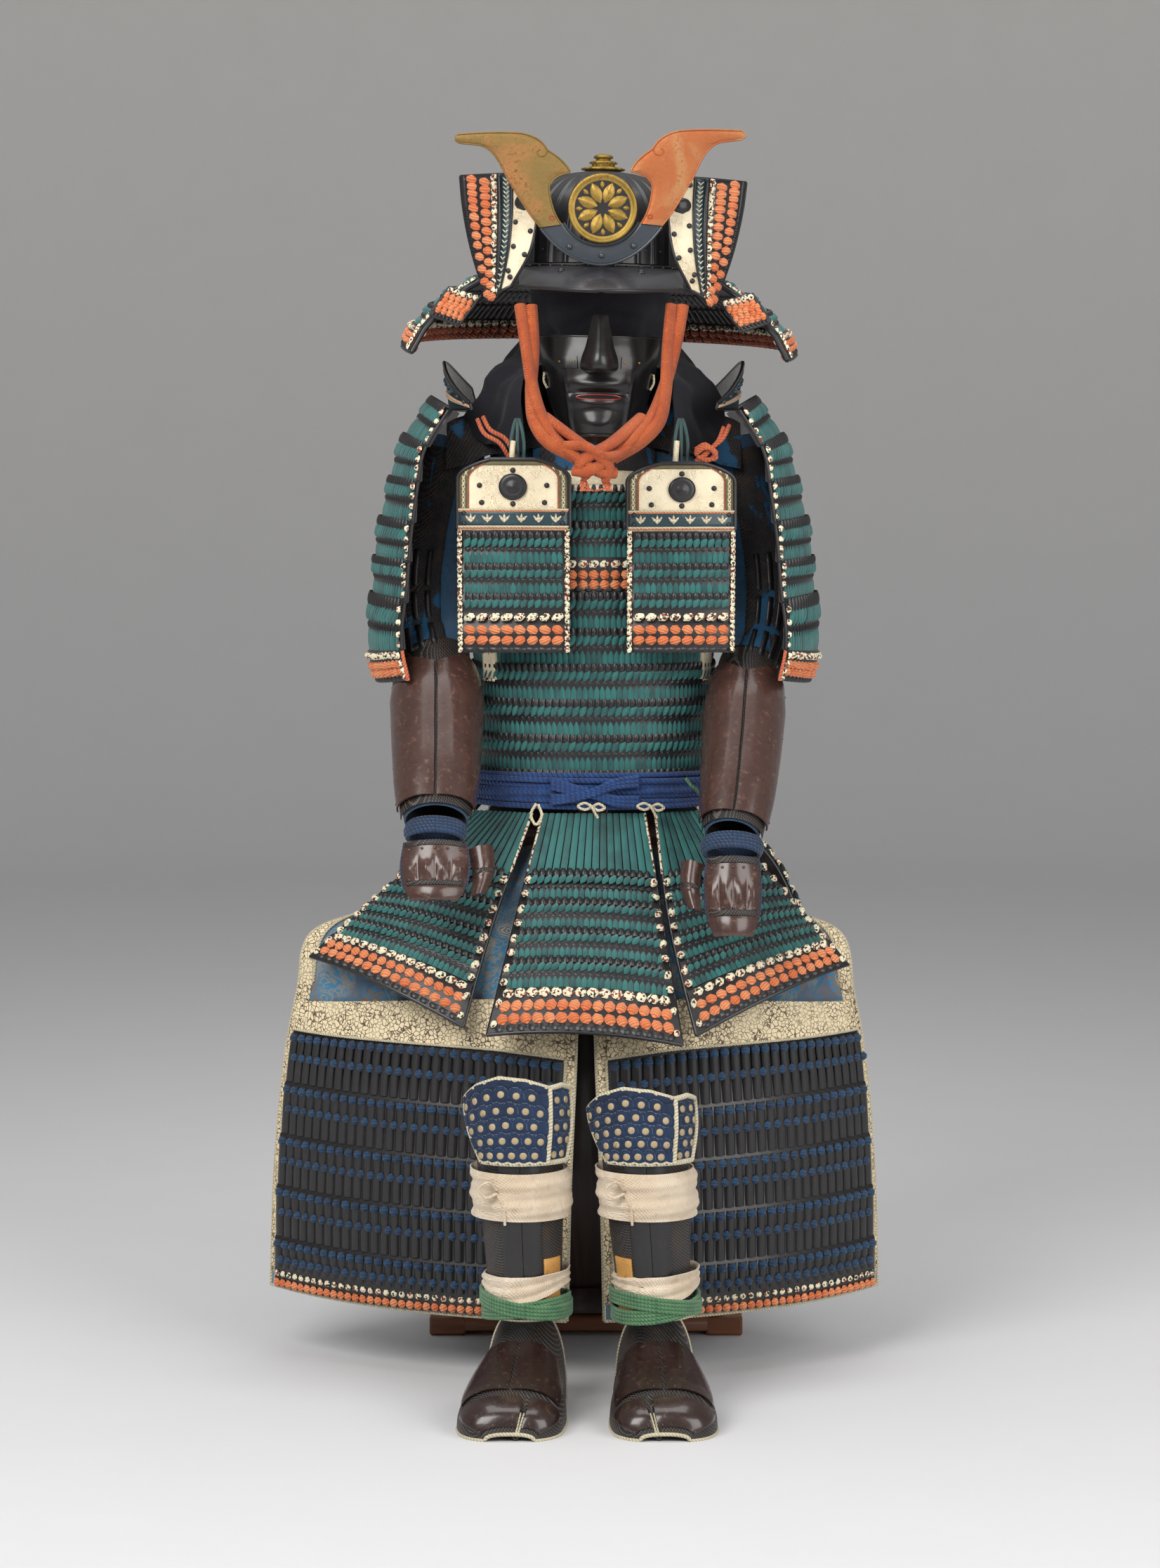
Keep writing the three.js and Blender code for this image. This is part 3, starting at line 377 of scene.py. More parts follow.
# ---- mesh building ----------------------------------------------------------------------
class Piece:
    """Gathers the parts of one piece, then makes its mesh."""

    def __init__(self, name, group, *stands_for):
        self.name, self.group, self.stands_for = name, group, stands_for
        self.points, self.uvs, self.tints, self.faces, self.kinds = [], [], [], [], []
        self.mats, self.count = [], 0

    def add(self, pts, faces, mat, uv=None, tint=None):
        pts = np.asarray(pts, float).reshape(-1, 3)
        n = len(pts)
        if mat not in self.mats:
            self.mats.append(mat)
        faces = np.asarray(faces, int)
        self.points.append(pts)
        self.uvs.append(np.zeros((n, 2)) if uv is None else np.asarray(uv, float).reshape(-1, 2))
        self.tints.append(np.full(n, 0.5) if tint is None else np.broadcast_to(tint, (n,)))
        self.faces.append(faces + self.count)
        self.kinds.append(np.full(len(faces), self.mats.index(mat)))
        self.count += n

    def placed(self, pts):
        """Points of the group, in the part's frame and in metres."""
        pts = np.array(pts, float)
        shift, roll = GROUPS[self.group]
        if roll:
            x, z = pts[:, 0].copy(), pts[:, 2] - PIVOT_Z
            pts[:, 0] = x * math.cos(roll) + z * math.sin(roll)
            pts[:, 2] = PIVOT_Z - x * math.sin(roll) + z * math.cos(roll)
        pts[:, 0] += shift + CENTRE_X
        return pts / 1000

    def make(self):
        pts = self.placed(np.concatenate(self.points))
        mesh = bpy.data.meshes.new(self.name)
        loops = np.concatenate([f.ravel() for f in self.faces])
        totals = np.concatenate([np.full(len(f), f.shape[1]) for f in self.faces])
        mesh.vertices.add(len(pts))
        mesh.vertices.foreach_set("co", pts.ravel())
        mesh.loops.add(len(loops))
        mesh.loops.foreach_set("vertex_index", loops)
        mesh.polygons.add(len(totals))
        mesh.polygons.foreach_set("loop_start", np.concatenate([[0], np.cumsum(totals)[:-1]]))
        mesh.polygons.foreach_set("loop_total", totals)
        mesh.polygons.foreach_set("material_index", np.concatenate(self.kinds))
        mesh.polygons.foreach_set("use_smooth", np.full(len(totals), True))
        mesh.uv_layers.new(name="UVMap").data.foreach_set("uv", (np.concatenate(self.uvs)[loops] / 1000).ravel())
        mesh.attributes.new("tint", "FLOAT", "POINT").data.foreach_set("value", np.concatenate(self.tints))
        for m in self.mats:
            mesh.materials.append(M[m])
        mesh.update(calc_edges=True)
        mesh.validate()
        obj = bpy.data.objects.new(self.name, mesh)
        bpy.context.scene.collection.objects.link(obj)
        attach(obj, "root")
        if self.stands_for:
            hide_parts(*self.stands_for)
        return obj


def unit(v):
    return v / np.maximum(np.linalg.norm(v, axis=-1, keepdims=True), 1e-9)


def grid_faces(m, n, ring=False):
    """Quads of an m by n grid of points, facing out when rows run down and columns right."""
    i, j = np.meshgrid(np.arange(m - 1), np.arange(n if ring else n - 1), indexing="ij")
    a, d = i * n + j, i * n + (j + 1) % n
    return np.stack([a, a + n, d + n, d], -1).reshape(-1, 4)


def lattice(rows, cols, t=(0, 1), u=(0, 1), ring=False):
    """Values of t and u on a grid over a face, or once round it."""
    across = np.arange(cols) / cols if ring else np.linspace(*u, cols)
    return np.meshgrid(np.linspace(*t, rows), across, indexing="ij")


def sheet_uv(pts):
    """Lengths across and down a grid of points, in mm, for its UV map."""
    across = np.concatenate([np.zeros((len(pts), 1)), np.cumsum(np.linalg.norm(np.diff(pts, axis=1), axis=-1), 1)], 1)
    down = np.concatenate([np.zeros((1, pts.shape[1])), np.cumsum(np.linalg.norm(np.diff(pts, axis=0), axis=-1), 0)])
    return np.stack([across, down], -1)


def normals(pts, ring=False):
    if ring:
        right = np.roll(pts, -1, 1) - np.roll(pts, 1, 1)
    else:
        right = np.gradient(pts, axis=1)
    return unit(np.cross(np.gradient(pts, axis=0), right))


def add_wall(piece, pts, thick, outer, inner=None, ring=False):
    """A closed wall under a grid of points: outer face, inner face and its edges."""
    m, n = pts.shape[:2]
    back = pts - normals(pts, ring) * thick
    f = grid_faces(m, n, ring)
    uv = sheet_uv(pts)
    piece.add(pts, f, outer, uv)
    piece.add(back, f[:, ::-1], inner or outer, uv)
    both = np.concatenate([pts.reshape(-1, 3), back.reshape(-1, 3)])
    k, edge = m * n, []
    cols = range(n if ring else n - 1)
    for j in cols:
        d = (j + 1) % n
        edge += [[j, d, k + d, k + j]]
        b, c = (m - 1) * n + j, (m - 1) * n + d
        edge += [[c, b, k + b, k + c]]
    if not ring:
        for i in range(m - 1):
            a, b = i * n, (i + 1) * n
            edge += [[b, a, k + a, k + b], [a + n - 1, b + n - 1, k + b + n - 1, k + a + n - 1]]
    piece.add(both, edge, outer)


def loft(piece, rings, mat, caps=True):
    """A tube or block through closed sections; UV runs once round and along in mm."""
    rings = np.asarray(rings, float)
    m, n = rings.shape[:2]
    wrap = np.concatenate([rings, rings[:, :1]], 1)
    along = np.concatenate([[0], np.cumsum(np.linalg.norm(np.diff(rings.mean(1), axis=0), axis=1))])
    uv = np.stack(np.meshgrid(np.linspace(0, 1000, n + 1), along), -1)
    piece.add(wrap, grid_faces(m, n + 1), mat, uv)
    if caps:
        for r, flip in ((rings[0], False), (rings[-1], True)):
            c = np.concatenate([r, r.mean(0, keepdims=True)])
            tri = [[j, (j + 1) % n, n] for j in range(n)]
            piece.add(c, np.array(tri)[:, ::-1] if flip else tri, mat)


def spline(points, steps):
    """A smooth line through a few points, each span given the same share of the steps."""
    p = np.asarray(points, float)
    knot = np.concatenate([[0], np.cumsum(np.linalg.norm(np.diff(p, axis=0), axis=1) ** 0.5)])
    tangent = np.gradient(p, knot, axis=0)
    x = np.linspace(0, len(p) - 1, steps)
    i = np.minimum(x.astype(int), len(p) - 2)
    s, h = (x - i)[:, None], np.diff(knot)[i][:, None]
    return ((2 * s**3 - 3 * s**2 + 1) * p[i] + (s**3 - 2 * s**2 + s) * h * tangent[i]
            + (-2 * s**3 + 3 * s**2) * p[i + 1] + (s**3 - s**2) * h * tangent[i + 1])


def round_angles(n):
    return np.arange(n) * 2 * PI / n


def cord_rings(path, radius, sides=8, flat=1.0):
    path = np.asarray(path, float)
    along = unit(np.gradient(path, axis=0))
    side = unit(np.cross(along[0], [0.31, 0.2, 0.93]))
    rings, r = [], np.broadcast_to(radius, (len(path),))
    f = round_angles(sides)
    for p, d, rad in zip(path, along, r):
        side = unit(side - d * (side @ d))
        up = np.cross(d, side)
        rings.append(p + rad * (np.cos(f)[:, None] * side + flat * np.sin(f)[:, None] * up))
    return np.array(rings)


def add_cord(piece, points, radius, mat, steps=24, sides=8, flat=1.0):
    loft(piece, cord_rings(spline(points, steps), radius, sides, flat)[:, ::-1], mat)


# ---- small repeated shapes, stamped along a face -----------------------------------------
def stamp_shape(nx, ny, outline, height):
    """A low domed patch over x, y from -1 to 1, narrowed to an outline."""
    y, x = np.meshgrid(np.linspace(-1, 1, ny + 1), np.linspace(-1, 1, nx + 1), indexing="ij")
    return np.stack([x * outline(y), y, height(x, y)], -1).reshape(-1, 3), grid_faces(ny + 1, nx + 1)


def round_top(x, y):
    return np.sqrt(np.maximum(0, 1 - x**2)) * np.sqrt(np.maximum(0, 1 - y**2)) ** 0.7


SHAPES = {
    "head": stamp_shape(4, 3, lambda y: 0.55 + 0.45 * np.sqrt(np.maximum(0, 1 - np.clip(-y, 0, 1) ** 2)),
                        lambda x, y: np.sqrt(np.maximum(0, 1 - x**2)) * np.clip(1.15 - 0.6 * y**2, 0, 1)),
    "leaf": stamp_shape(3, 5, lambda y: np.maximum(0.08, 1 - np.abs(y) ** 2.2), round_top),
    "lace": stamp_shape(3, 3, lambda y: np.where(y < -0.9, 0.35, 1.0),
                        lambda x, y: np.sqrt(np.maximum(0, 1 - x**2)) * np.where(np.abs(y) > 0.95, 0.3, 1.0)),
    "knot": stamp_shape(4, 4, lambda y: np.sqrt(np.maximum(0.02, 1 - np.abs(y) ** 2.6)), round_top),
    "lozenge": stamp_shape(2, 2, lambda y: np.maximum(0.05, 1 - np.abs(y)), lambda x, y: (1 - x**2) * (1 - y**2)),
    "rib": stamp_shape(6, 8, lambda y: np.ones_like(y), lambda x, y: np.sqrt(np.maximum(0, 1 - x**2))),
    "stud": stamp_shape(6, 6, lambda y: np.sqrt(np.maximum(0.001, 1 - y**2)), round_top),
}


class Face:
    """A curved face p(u, t, out): u runs to the right, t down, out in mm off the face."""

    def __init__(self, p):
        self.p = p

    def __call__(self, u, t, out=0.0):
        u, t, out = np.broadcast_arrays(np.asarray(u, float), np.asarray(t, float), np.asarray(out, float))
        return self.p(u, t, out)

    def axes(self, u, t):
        e = 0.004
        right = unit(self(np.minimum(u + e, 1), t) - self(np.maximum(u - e, 0), t))
        down = unit(self(u, np.minimum(t + e, 1)) - self(u, np.maximum(t - e, 0)))
        out = unit(np.cross(down, right))
        return right, unit(np.cross(right, out)), out

    def spread(self, t, pitch, u0=0.0, u1=1.0, shift=0.0):
        """Places across the face at one t, evenly spaced, about pitch apart."""
        u = np.linspace(u0, u1, 160)
        length = np.concatenate([[0], np.cumsum(np.linalg.norm(np.diff(self(u, t), axis=0), axis=1))])
        n = max(1, round(length[-1] / pitch))
        want = (np.arange(n) + 0.5 + shift) * length[-1] / n
        want = want[want < length[-1]]
        return np.interp(want, length, u), length[-1] / n

    def drop(self, u, t0, t1):
        return float(np.linalg.norm(self(u, t1) - self(u, t0)))


def stamp(piece, face, shape, u, t, out, size, mat, turn=0.0, jitter=0.06):
    """Copies of a small shape at places u, t: size is its half width, half length and height."""
    u, t = np.broadcast_arrays(np.atleast_1d(np.asarray(u, float)), np.atleast_1d(np.asarray(t, float)))
    if not len(u):
        return
    v, f = SHAPES[shape]
    right, down, up = face.axes(u, t)
    k = len(u)
    a = turn + rng.normal(0, jitter, k)
    c, s = np.cos(a)[:, None], np.sin(a)[:, None]
    x, y = right * c + down * s, down * c - right * s
    grow = 1 + rng.normal(0, jitter * 0.5, (k, 1))
    w, h, d = (np.broadcast_to(np.asarray(q, float), (k,))[:, None, None] for q in size)
    pts = (face(u, t, out)[:, None] + x[:, None] * v[None, :, :1] * w * grow[:, None]
           + y[:, None] * v[None, :, 1:2] * h + up[:, None] * v[None, :, 2:] * d)
    faces = (f[None] + (np.arange(k) * len(v))[:, None, None]).reshape(-1, 4)
    uv = np.broadcast_to(v[None, :, :2], (k, len(v), 2)) * np.concatenate([w, h], 2)
    tint = np.repeat(rng.random(k), len(v))
    piece.add(pts, faces, mat, uv + rng.random((k, 1, 1)) * 20, tint)


# Place down the lame, share of the pitch, lift, shape, half width, half length, height, silk, turn, jitter.
LACING = {
    "heads": (0.1, 1, 0, "head", 0.47, 0.115, 2.6, "black", 0, 0.03),
    "rope": (0.335, 1, 0.4, "leaf", 0.46, 0.185, 3.4, "teal", 0.5, 0.06),
    "gaps": (0.56, 1, 0, "lozenge", 0.4, 0.075, 1.6, "black", 0, 0.06),
    "laces": (0.82, 0.8, 0, "lace", 0.46, 0.19, 1.7, "teal", 0, 0.03),
}


def lame(piece, face, t0, t1, u0=0.0, u1=1.0, step=4.0, pitch=8.6, rows=tuple(LACING)):
    """One laced lame between t0 and t1: scale heads, slanting braid, small lozenges, laces."""
    tall = face.drop(0.5 * (u0 + u1), t0, t1)
    for kind in rows:
        q, share, lift, shape, wide, long, high, mat, turn, jitter = LACING[kind]
        t = t0 + (t1 - t0) * q
        u, gap = face.spread(t, pitch * share, u0, u1)
        stamp(piece, face, shape, u, t, step * (1 - q) + lift, (gap * wide, tall * long, high), mat, turn, jitter)


def knot_rows(piece, face, t0, t1, u0=0.0, u1=1.0, step=0.0, pitch=11.6, rows=(0.16, 0.43, 0.68), grow=1.0):
    """Foot of a laced piece: a row of ivory knots over two rows of orange ones, and a black edge."""
    tall = face.drop(0.5 * (u0 + u1), t0, t1)
    for i, q in enumerate(rows):
        t, out = t0 + (t1 - t0) * q, step * (1 - q)
        u, gap = face.spread(t, pitch, u0, u1)
        size = (gap * 0.47, tall * grow * (0.115 if i == 0 else 0.135), 4.2)
        stamp(piece, face, "knot", u, t, out + 0.3, size, "ivory" if i == 0 else "orange", 0.35 if i == 1 else -0.35)
    t = t0 + (t1 - t0) * 0.9
    u, gap = face.spread(t, pitch, u0, u1)
    stamp(piece, face, "head", u, t, 0.3, (gap * 0.46, tall * 0.07, 2.0), "black", PI, 0.02)


def side_braid(piece, face, t0, t1, inset=0.02, pitch=7.0):
    """Speckled braid worked down the edges of a laced piece."""
    for s in (0, 1):
        n = max(2, round(face.drop(s, t0, t1) / pitch))
        t = t0 + (t1 - t0) * (np.arange(n) + 0.5) / n
        u = np.full(n, inset if s == 0 else 1 - inset)
        stamp(piece, face, "leaf", u, t, 3.4, (3.2, pitch * 0.62, 3.0), "ivory", 0.55 if s == 0 else -0.55)


def lame_rows(tops, step):
    """Rows of a stepped wall: each lame stands out over the foot of the one above."""
    rows = []
    for k in range(len(tops) - 1):
        a, b = tops[k], tops[k + 1]
        ledge = (b - a) * 0.07 if k else 0
        rows += [(a + ledge, step if k else 0.0), (a + (b - a) * 0.5, step * 0.5 if k else 0.0), (b, 0.0)]
    return rows


def add_face_wall(piece, face, rows, cols, thick, outer, inner=None, inset=None):
    """A wall over a face through rows of (t, out), drawn in at its sides by inset(t)."""
    u = np.linspace(0, 1, cols + 1)
    pts = []
    for t, out in rows:
        w = inset(t) if inset else 0
        pts.append(face(w + (1 - 2 * w) * u, t, out))
    add_wall(piece, np.array(pts), thick, outer, inner)


def even(n, a=0.0, b=1.0):
    """Evenly spaced rows for add_face_wall."""
    return [(a + (b - a) * i / n, 0.0) for i in range(n + 1)]


def hanging(left, right, bow, mirror=False, wide=1.0):
    """A face hung between a left and a right edge, bowed out in the middle."""
    a, b = spline(left, 121), spline(right, 121)
    if mirror:
        k = np.array([-wide, 1, 1])
        a, b = b * k, a * k
    s = np.linspace(0, 1, 121)
    edge = lambda e, t: np.stack([np.interp(t, s, e[:, i]) for i in range(3)], -1)

    def p(u, t, out):
        flat = lambda uu, tt: edge(a, tt) * (1 - uu[..., None]) + edge(b, tt) * uu[..., None]
        down = flat(u, np.minimum(t + 0.02, 1)) - flat(u, np.maximum(t - 0.02, 0))
        side = flat(np.ones_like(u), t) - flat(np.zeros_like(u), t)
        belly = bow(t) if callable(bow) else bow
        return flat(u, t) + unit(np.cross(down, side)) * (out + belly * 4 * u * (1 - u))[..., None]
    return Face(p)


def power(v, k):
    """A power that keeps the sign."""
    return np.sign(v) * np.abs(v) ** k


def turned(piece, x, y, profile, mat, sides=40, wave=None):
    """A turned solid about an upright axis, from (radius, z) down its profile."""
    f = round_angles(sides)
    rings = []
    for r, z in profile:
        rr = r * (1 + (wave(f, z) if wave else 0))
        rings.append(np.stack([x + rr * np.sin(f), y - rr * np.cos(f), np.full(sides, z)], -1))
    loft(piece, rings, mat)


def strips(piece, face, t0, t1, pitch, height, mat, share=0.8, rows=4, cross=5, out=(0, 0), bow=0.0):
    """Long narrow bands running down a face side by side, each slightly domed."""
    u, gap = face.spread(0.5 * (t0 + t1), pitch)
    k, du = len(u), 1 / max(1, len(u))
    t = np.linspace(t0, t1, rows + 1)
    x = np.linspace(-1, 1, cross)
    tt, uu, xx = np.meshgrid(t, u, x, indexing="ij")
    q = (tt - t0) / (t1 - t0)
    o = out[0] + (out[1] - out[0]) * q + height * np.sqrt(np.maximum(0, 1 - xx**2)) * (1 + bow * 4 * q * (1 - q))
    pts = face(np.clip(uu + xx * du * share * 0.5, 0, 1), tt, o)
    f = grid_faces(rows + 1, cross)
    drop = face.drop(0.5, t0, t1)
    for j in range(k):
        uv = np.stack([x * gap * share * 0.5 + np.zeros((rows + 1, 1)), (q[:, j] * drop)], -1) + rng.random() * 30
        piece.add(pts[:, j], f, mat, uv, rng.random())


def panel(piece, face, u, t, height, mat, cols=8, rows=8):
    """A raised flat piece over part of a face, its edges brought down to it."""
    uu = np.concatenate([[u[0]], np.linspace(u[0], u[1], cols + 1), [u[1]]])
    tt = np.concatenate([[t[0]], np.linspace(t[0], t[1], rows + 1), [t[1]]])
    t2, u2 = np.meshgrid(tt, uu, indexing="ij")
    o = np.full(t2.shape, float(height))
    o[0], o[-1], o[:, 0], o[:, -1] = 0, 0, 0, 0
    pts = face(u2, t2, o)
    piece.add(pts, grid_faces(*t2.shape), mat, sheet_uv(pts))


def edge_line(face, u, t, out, steps=40):
    """Points along a line on a face, from lists of u and t."""
    s = np.linspace(0, len(u) - 1, steps)
    k = np.arange(len(u))
    return face(np.interp(s, k, u), np.interp(s, k, t), out)


def piping(piece, line, radius, mat, sides=6, caps=True):
    loft(piece, cord_rings(line, radius, sides)[:, ::-1], mat, caps)


def edging(piece, face, u, t, out, radius, mat, steps=40):
    """Piping along a line on a face."""
    piping(piece, edge_line(face, u, t, out, steps), radius, mat)


def side_edging(piece, face, t, out, radius, mat, steps=40):
    """Piping down both sides of a face."""
    for s in (0, 1):
        edging(piece, face, [s, s], t, out, radius, mat, steps)


def from_outer(flip):
    """Shares across a face counted from its outer edge: one of them, and a span of two."""
    one = (lambda a: 1 - a) if flip else (lambda a: a)
    return one, lambda a, b: (min(one(a), one(b)), max(one(a), one(b)))


def board(piece, x, y, z, mat, ease=1.5):
    """A sawn board with eased edges, lofted along its longest way."""
    lo, hi = np.array([x[0], y[0], z[0]], float), np.array([x[1], y[1], z[1]], float)
    a = int(np.argmax(hi - lo))
    b, c = (a + 1) % 3, (a + 2) % 3
    rings = []
    spots = [(lo[a], ease), (lo[a] + ease, 0), (hi[a] - ease, 0), (hi[a], ease)]
    for p, e in spots:
        b0, b1, c0, c1, k = lo[b] + e, hi[b] - e, lo[c] + e, hi[c] - e, ease
        ring = [(b0 + k, c0), (b1 - k, c0), (b1, c0 + k), (b1, c1 - k), (b1 - k, c1), (b0 + k, c1), (b0, c1 - k),
                (b0, c0 + k)]
        pts = np.zeros((8, 3))
        pts[:, a], pts[:, b], pts[:, c] = p, [r[0] for r in ring], [r[1] for r in ring]
        rings.append(pts)
    loft(piece, np.array(rings)[:, ::-1], mat)


def ring_face(rows, y, f0, f1, pw=1.0, swell=None):
    """Face of upright oval sections: rows of (z, rx, ry); u runs from angle f0 to f1 degrees."""
    line = spline([(r[1], r[2], r[0]) for r in rows], 121)
    s = np.linspace(0, 1, 121)

    def p(u, t, out):
        f = np.radians(f0 + (f1 - f0) * u)
        rx, ry, z = (np.interp(t, s, line[:, i]) for i in range(3))
        if swell:
            out = out + swell(np.degrees(f), z)
        return np.stack([(rx + out) * power(np.sin(f), pw), y - (ry + out) * power(np.cos(f), pw), z + 0 * u], -1)
    return Face(p)


# ---- helmet -----------------------------------------------------------------------------
bowl = ring_face([(1450, 16, 18), (1444, 47, 54), (1430, 76, 87), (1408, 97, 111), (1375, 109, 124), (1334, 112, 128)],
                 HELMET_Y, 0, 360)
piece = Piece("bowl", "helmet", "helmet_bowl")
u = np.arange(384) / 384
tt, uu = np.meshgrid(np.linspace(0, 1, 22), u, indexing="ij")
ridge = 2.6 * np.maximum(0, np.cos(uu * 32 * 2 * PI)) ** 5 * np.minimum(1, tt * 6 + 0.3)
add_wall(piece, bowl(uu, tt, ridge), 3, "black", "shadow", ring=True)
stamp(piece, bowl, "stud", np.tile((np.arange(32) + 0.5) / 32, 2), np.repeat([0.93, 0.8], 32), 0, (2, 2, 1.4), "black")
piece.make()
piece = Piece("finial", "helmet", "helmet_finial")
turned(piece, 0, HELMET_Y, [(4, 1471), (9, 1470), (12, 1468), (12, 1466), (9, 1465), (9, 1463), (15, 1462),
                            (17, 1460), (13, 1458), (14, 1456), (24, 1454), (26, 1452.5), (24, 1450.9)], "gold", 48,
       lambda f, z: 0.06 * np.cos(f * 12) * (1450 < z < 1461))
piece.make()

piece = Piece("brim", "helmet", "helmet_brim")


def brim_point(u, t, out):
    s = u * 2 - 1
    f = s * 62 * PI / 180
    root = np.stack([114 * np.sin(f), HELMET_Y - 130 * np.cos(f), 1331 + 0 * u], -1)
    lip = np.stack([104 * s * (1 - 0.06 * np.abs(s) ** 6), -118 + 80 * s * s, 1297 + 6 * s * s], -1)
    p = root + (lip - root) * t[..., None]
    p[..., 2] += 14 * t * (1 - t) + out
    return p


brim = Face(brim_point)
tt, uu = lattice(9, 61)
# The brim's top is in the lighter brim lacquer, painted light.
add_wall(piece, brim(uu, tt, 1.2 * np.exp(-((uu - 0.5) / 0.012) ** 2)), 2.4, "brim", "red")
edging(piece, brim, [0, 1], [0.99, 0.99], 0.5, 2.6, "black", 60)
edging(piece, brim, [0, 1], [0.06, 0.06], 1.0, 1.6, "black", 60)
stamp(piece, brim, "stud", [0.29, 0.71], 0.36, 0.4, (4.2, 4.2, 3), "black")
stamp(piece, brim, "stud", np.linspace(0.04, 0.96, 15), 0.1, 0.4, (2.2, 2.2, 1.6), "black")
piece.make()

# Share down the neck guard, height, half width and half depth.
NECK = np.array([(0, 1328, 115, 131), (0.25, 1321, 156, 168), (0.5, 1307, 192, 200), (0.8, 1279, 226, 230),
                 (1, 1257, 242, 242)], float)


def neck_point(u, t, out):
    z, rx, ry = (np.interp(t, NECK[:, 0], NECK[:, i]) for i in (1, 2, 3))
    deg = 70 + 220 * u
    f = np.radians(deg)
    return np.stack([(rx + out) * np.sin(f), HELMET_Y - (ry + out) * np.cos(f),
                     z - 32 * t * (np.abs(deg - 180) / 110) ** 2 + out * 0.6], -1)


neck = Face(neck_point)
piece = Piece("neck_guard_lames", "helmet", "neck_guard")
cuts = np.linspace(0, 1, 6)
add_face_wall(piece, neck, lame_rows(cuts, 3), 96, 4, "black", "inside")
for a, b in zip(cuts[:-1], cuts[1:-1]):
    lame(piece, neck, a, b, 0.01, 0.99, 3, 9.4, tuple(LACING)[1:] if a == 0 else tuple(LACING))
knot_rows(piece, neck, cuts[4], 1, 0.01, 0.99, 3, 12)
under = Face(lambda u, t, out: neck_point(1 - u, t, -4 - out))
for a, b in zip(cuts[:-1], cuts[1:]):
    strips(piece, under, a + 0.02, b - 0.02, 9, 1.4, "black", 0.75, 1)
for t, mat in ((0.965, "rust"), (0.9, "rust"), (0.835, "ivory")):
    uu, gap = under.spread(t, 13.5, 0.004, 0.996, 0.5 if t == 0.9 else 0)
    stamp(piece, under, "knot", uu, t, 1.0, (gap * 0.46, 6.2 if mat == "rust" else 4.4, 3.6), mat, 0.4)
side_braid(piece, neck, 0.25, 1, 0.005, 9)
FLAP = np.array([[-182, 2, 1303], [-144, 4, 1293], [-170, -4, 1257], [-205, -8, 1269]], float)
for s in (1, -1):
    c = FLAP * [s, 1, 1]
    c = c if s > 0 else c[[1, 0, 3, 2]]
    flap = Face(lambda u, t, out, c=c: (c[0] * ((1 - u) * (1 - t))[..., None] + c[1] * (u * (1 - t))[..., None]
                                        + c[2] * (u * t)[..., None] + c[3] * ((1 - u) * t)[..., None]
                                        - np.stack([0 * u, out + 5 * u * (1 - u), 0 * u], -1)))
    add_face_wall(piece, flap, even(8), 8, 2.4, "black", "inside")
    stamp(piece, flap, "knot", (np.arange(5) + 0.5) / 5, 0.1, 0.2, (3.8, 4.0, 3.2), "ivory", 0.4)
    for i, t in enumerate((0.29, 0.45, 0.61, 0.77)):
        stamp(piece, flap, "leaf", (np.arange(5) + 0.5 + 0.25 * (i % 2)) / 5.3, t, 0.2, (3.7, 5.4, 3.0), "orange", 0.2)
    stamp(piece, flap, "head", (np.arange(8) + 0.5) / 8, 0.94, 0.2, (2.2, 2.6, 2.0), "black", PI)
    for line in ([0, 1], [1, 1]), ([0, 0], [0, 1]), ([1, 1], [0, 1]):
        edging(piece, flap, *line, -0.6, 1.8, "black", 16)
side_edging(piece, neck, [0.0, 1.0], -1.5, 3.4, "black")
edging(piece, neck, [0, 1], [1, 1], -1.8, 3.0, "black", 110)
piece.make()
for side in ("left", "right"):
    flip = side == "right"
    wing = hanging([[-172, 6, 1435], [-168, 4, 1400], [-158, 0, 1352], [-136, -12, 1284]],
                   [[-78, -46, 1437], [-78, -50, 1392], [-86, -52, 1345], [-108, -36, 1304]], 6, flip)
    k, span = from_outer(flip)
    piece = Piece("wing_" + side + "_dressed", "helmet", "wing_" + side)
    add_face_wall(piece, wing, even(16), 24, 2.4, "leather", "inside")
    panel(piece, wing, span(0.0, 0.48), (0, 1), 0.7, "black", 8, 20)
    stamp(piece, wing, "rib", np.full(40, k(0.045)), (np.arange(40) + 0.5) / 40, 0.7, (3.2, 1.5, 1.4), "black", 0.0)
    t = (np.arange(13) + 0.5) / 13
    for a, turn in ((0.165, 0.15), (0.345, 0.15)):
        stamp(piece, wing, "knot", np.full(13, k(a)), t + (0.035 if a > 0.2 else 0), 0.7, (8.0, 5.3, 4.6), "orange",
              turn)
    t = (np.arange(15) + 0.5) / 15
    stamp(piece, wing, "knot", np.full(15, k(0.475)), t, 0.7, (5.0, 5.0, 4.4), "ivory", -0.5)
    panel(piece, wing, span(0.52, 0.57), (0, 1), 3.4, "black", 1, 20)
    panel(piece, wing, span(0.57, 0.69), (0.01, 0.99), 1.6, "indigo", 2, 20)
    edging(piece, wing, [k(0.7)] * 2, [0.01, 0.99], 1.4, 1.3, "black")
    t = np.linspace(0.05, 0.95, 22)
    for d in (-1, 1):
        stamp(piece, wing, "leaf", np.full(22, k(0.63)) + 0.017 * d, t, 1.9, (0.8, 3.4, 0.7), "cream", 0.9 * d)
    stamp(piece, wing, "stud", [k(0.75), k(0.95), k(0.75), k(0.95), k(0.76), k(0.77), k(0.95), k(0.86)],
          [0.07, 0.1, 0.44, 0.5, 0.64, 0.84, 0.7, 0.9], 0.3, (3.4, 3.4, 2.8), "black")
    stamp(piece, wing, "stud", [k(0.84)], [0.26], 0.3, (12, 10, 5.5), "black")
    side_edging(piece, wing, [0, 1], -1.0, 2.0, "black")
    for e in (0, 1):
        edging(piece, wing, [0, 1], [e, e], -1.0, 2.0, "black")
    piece.make()


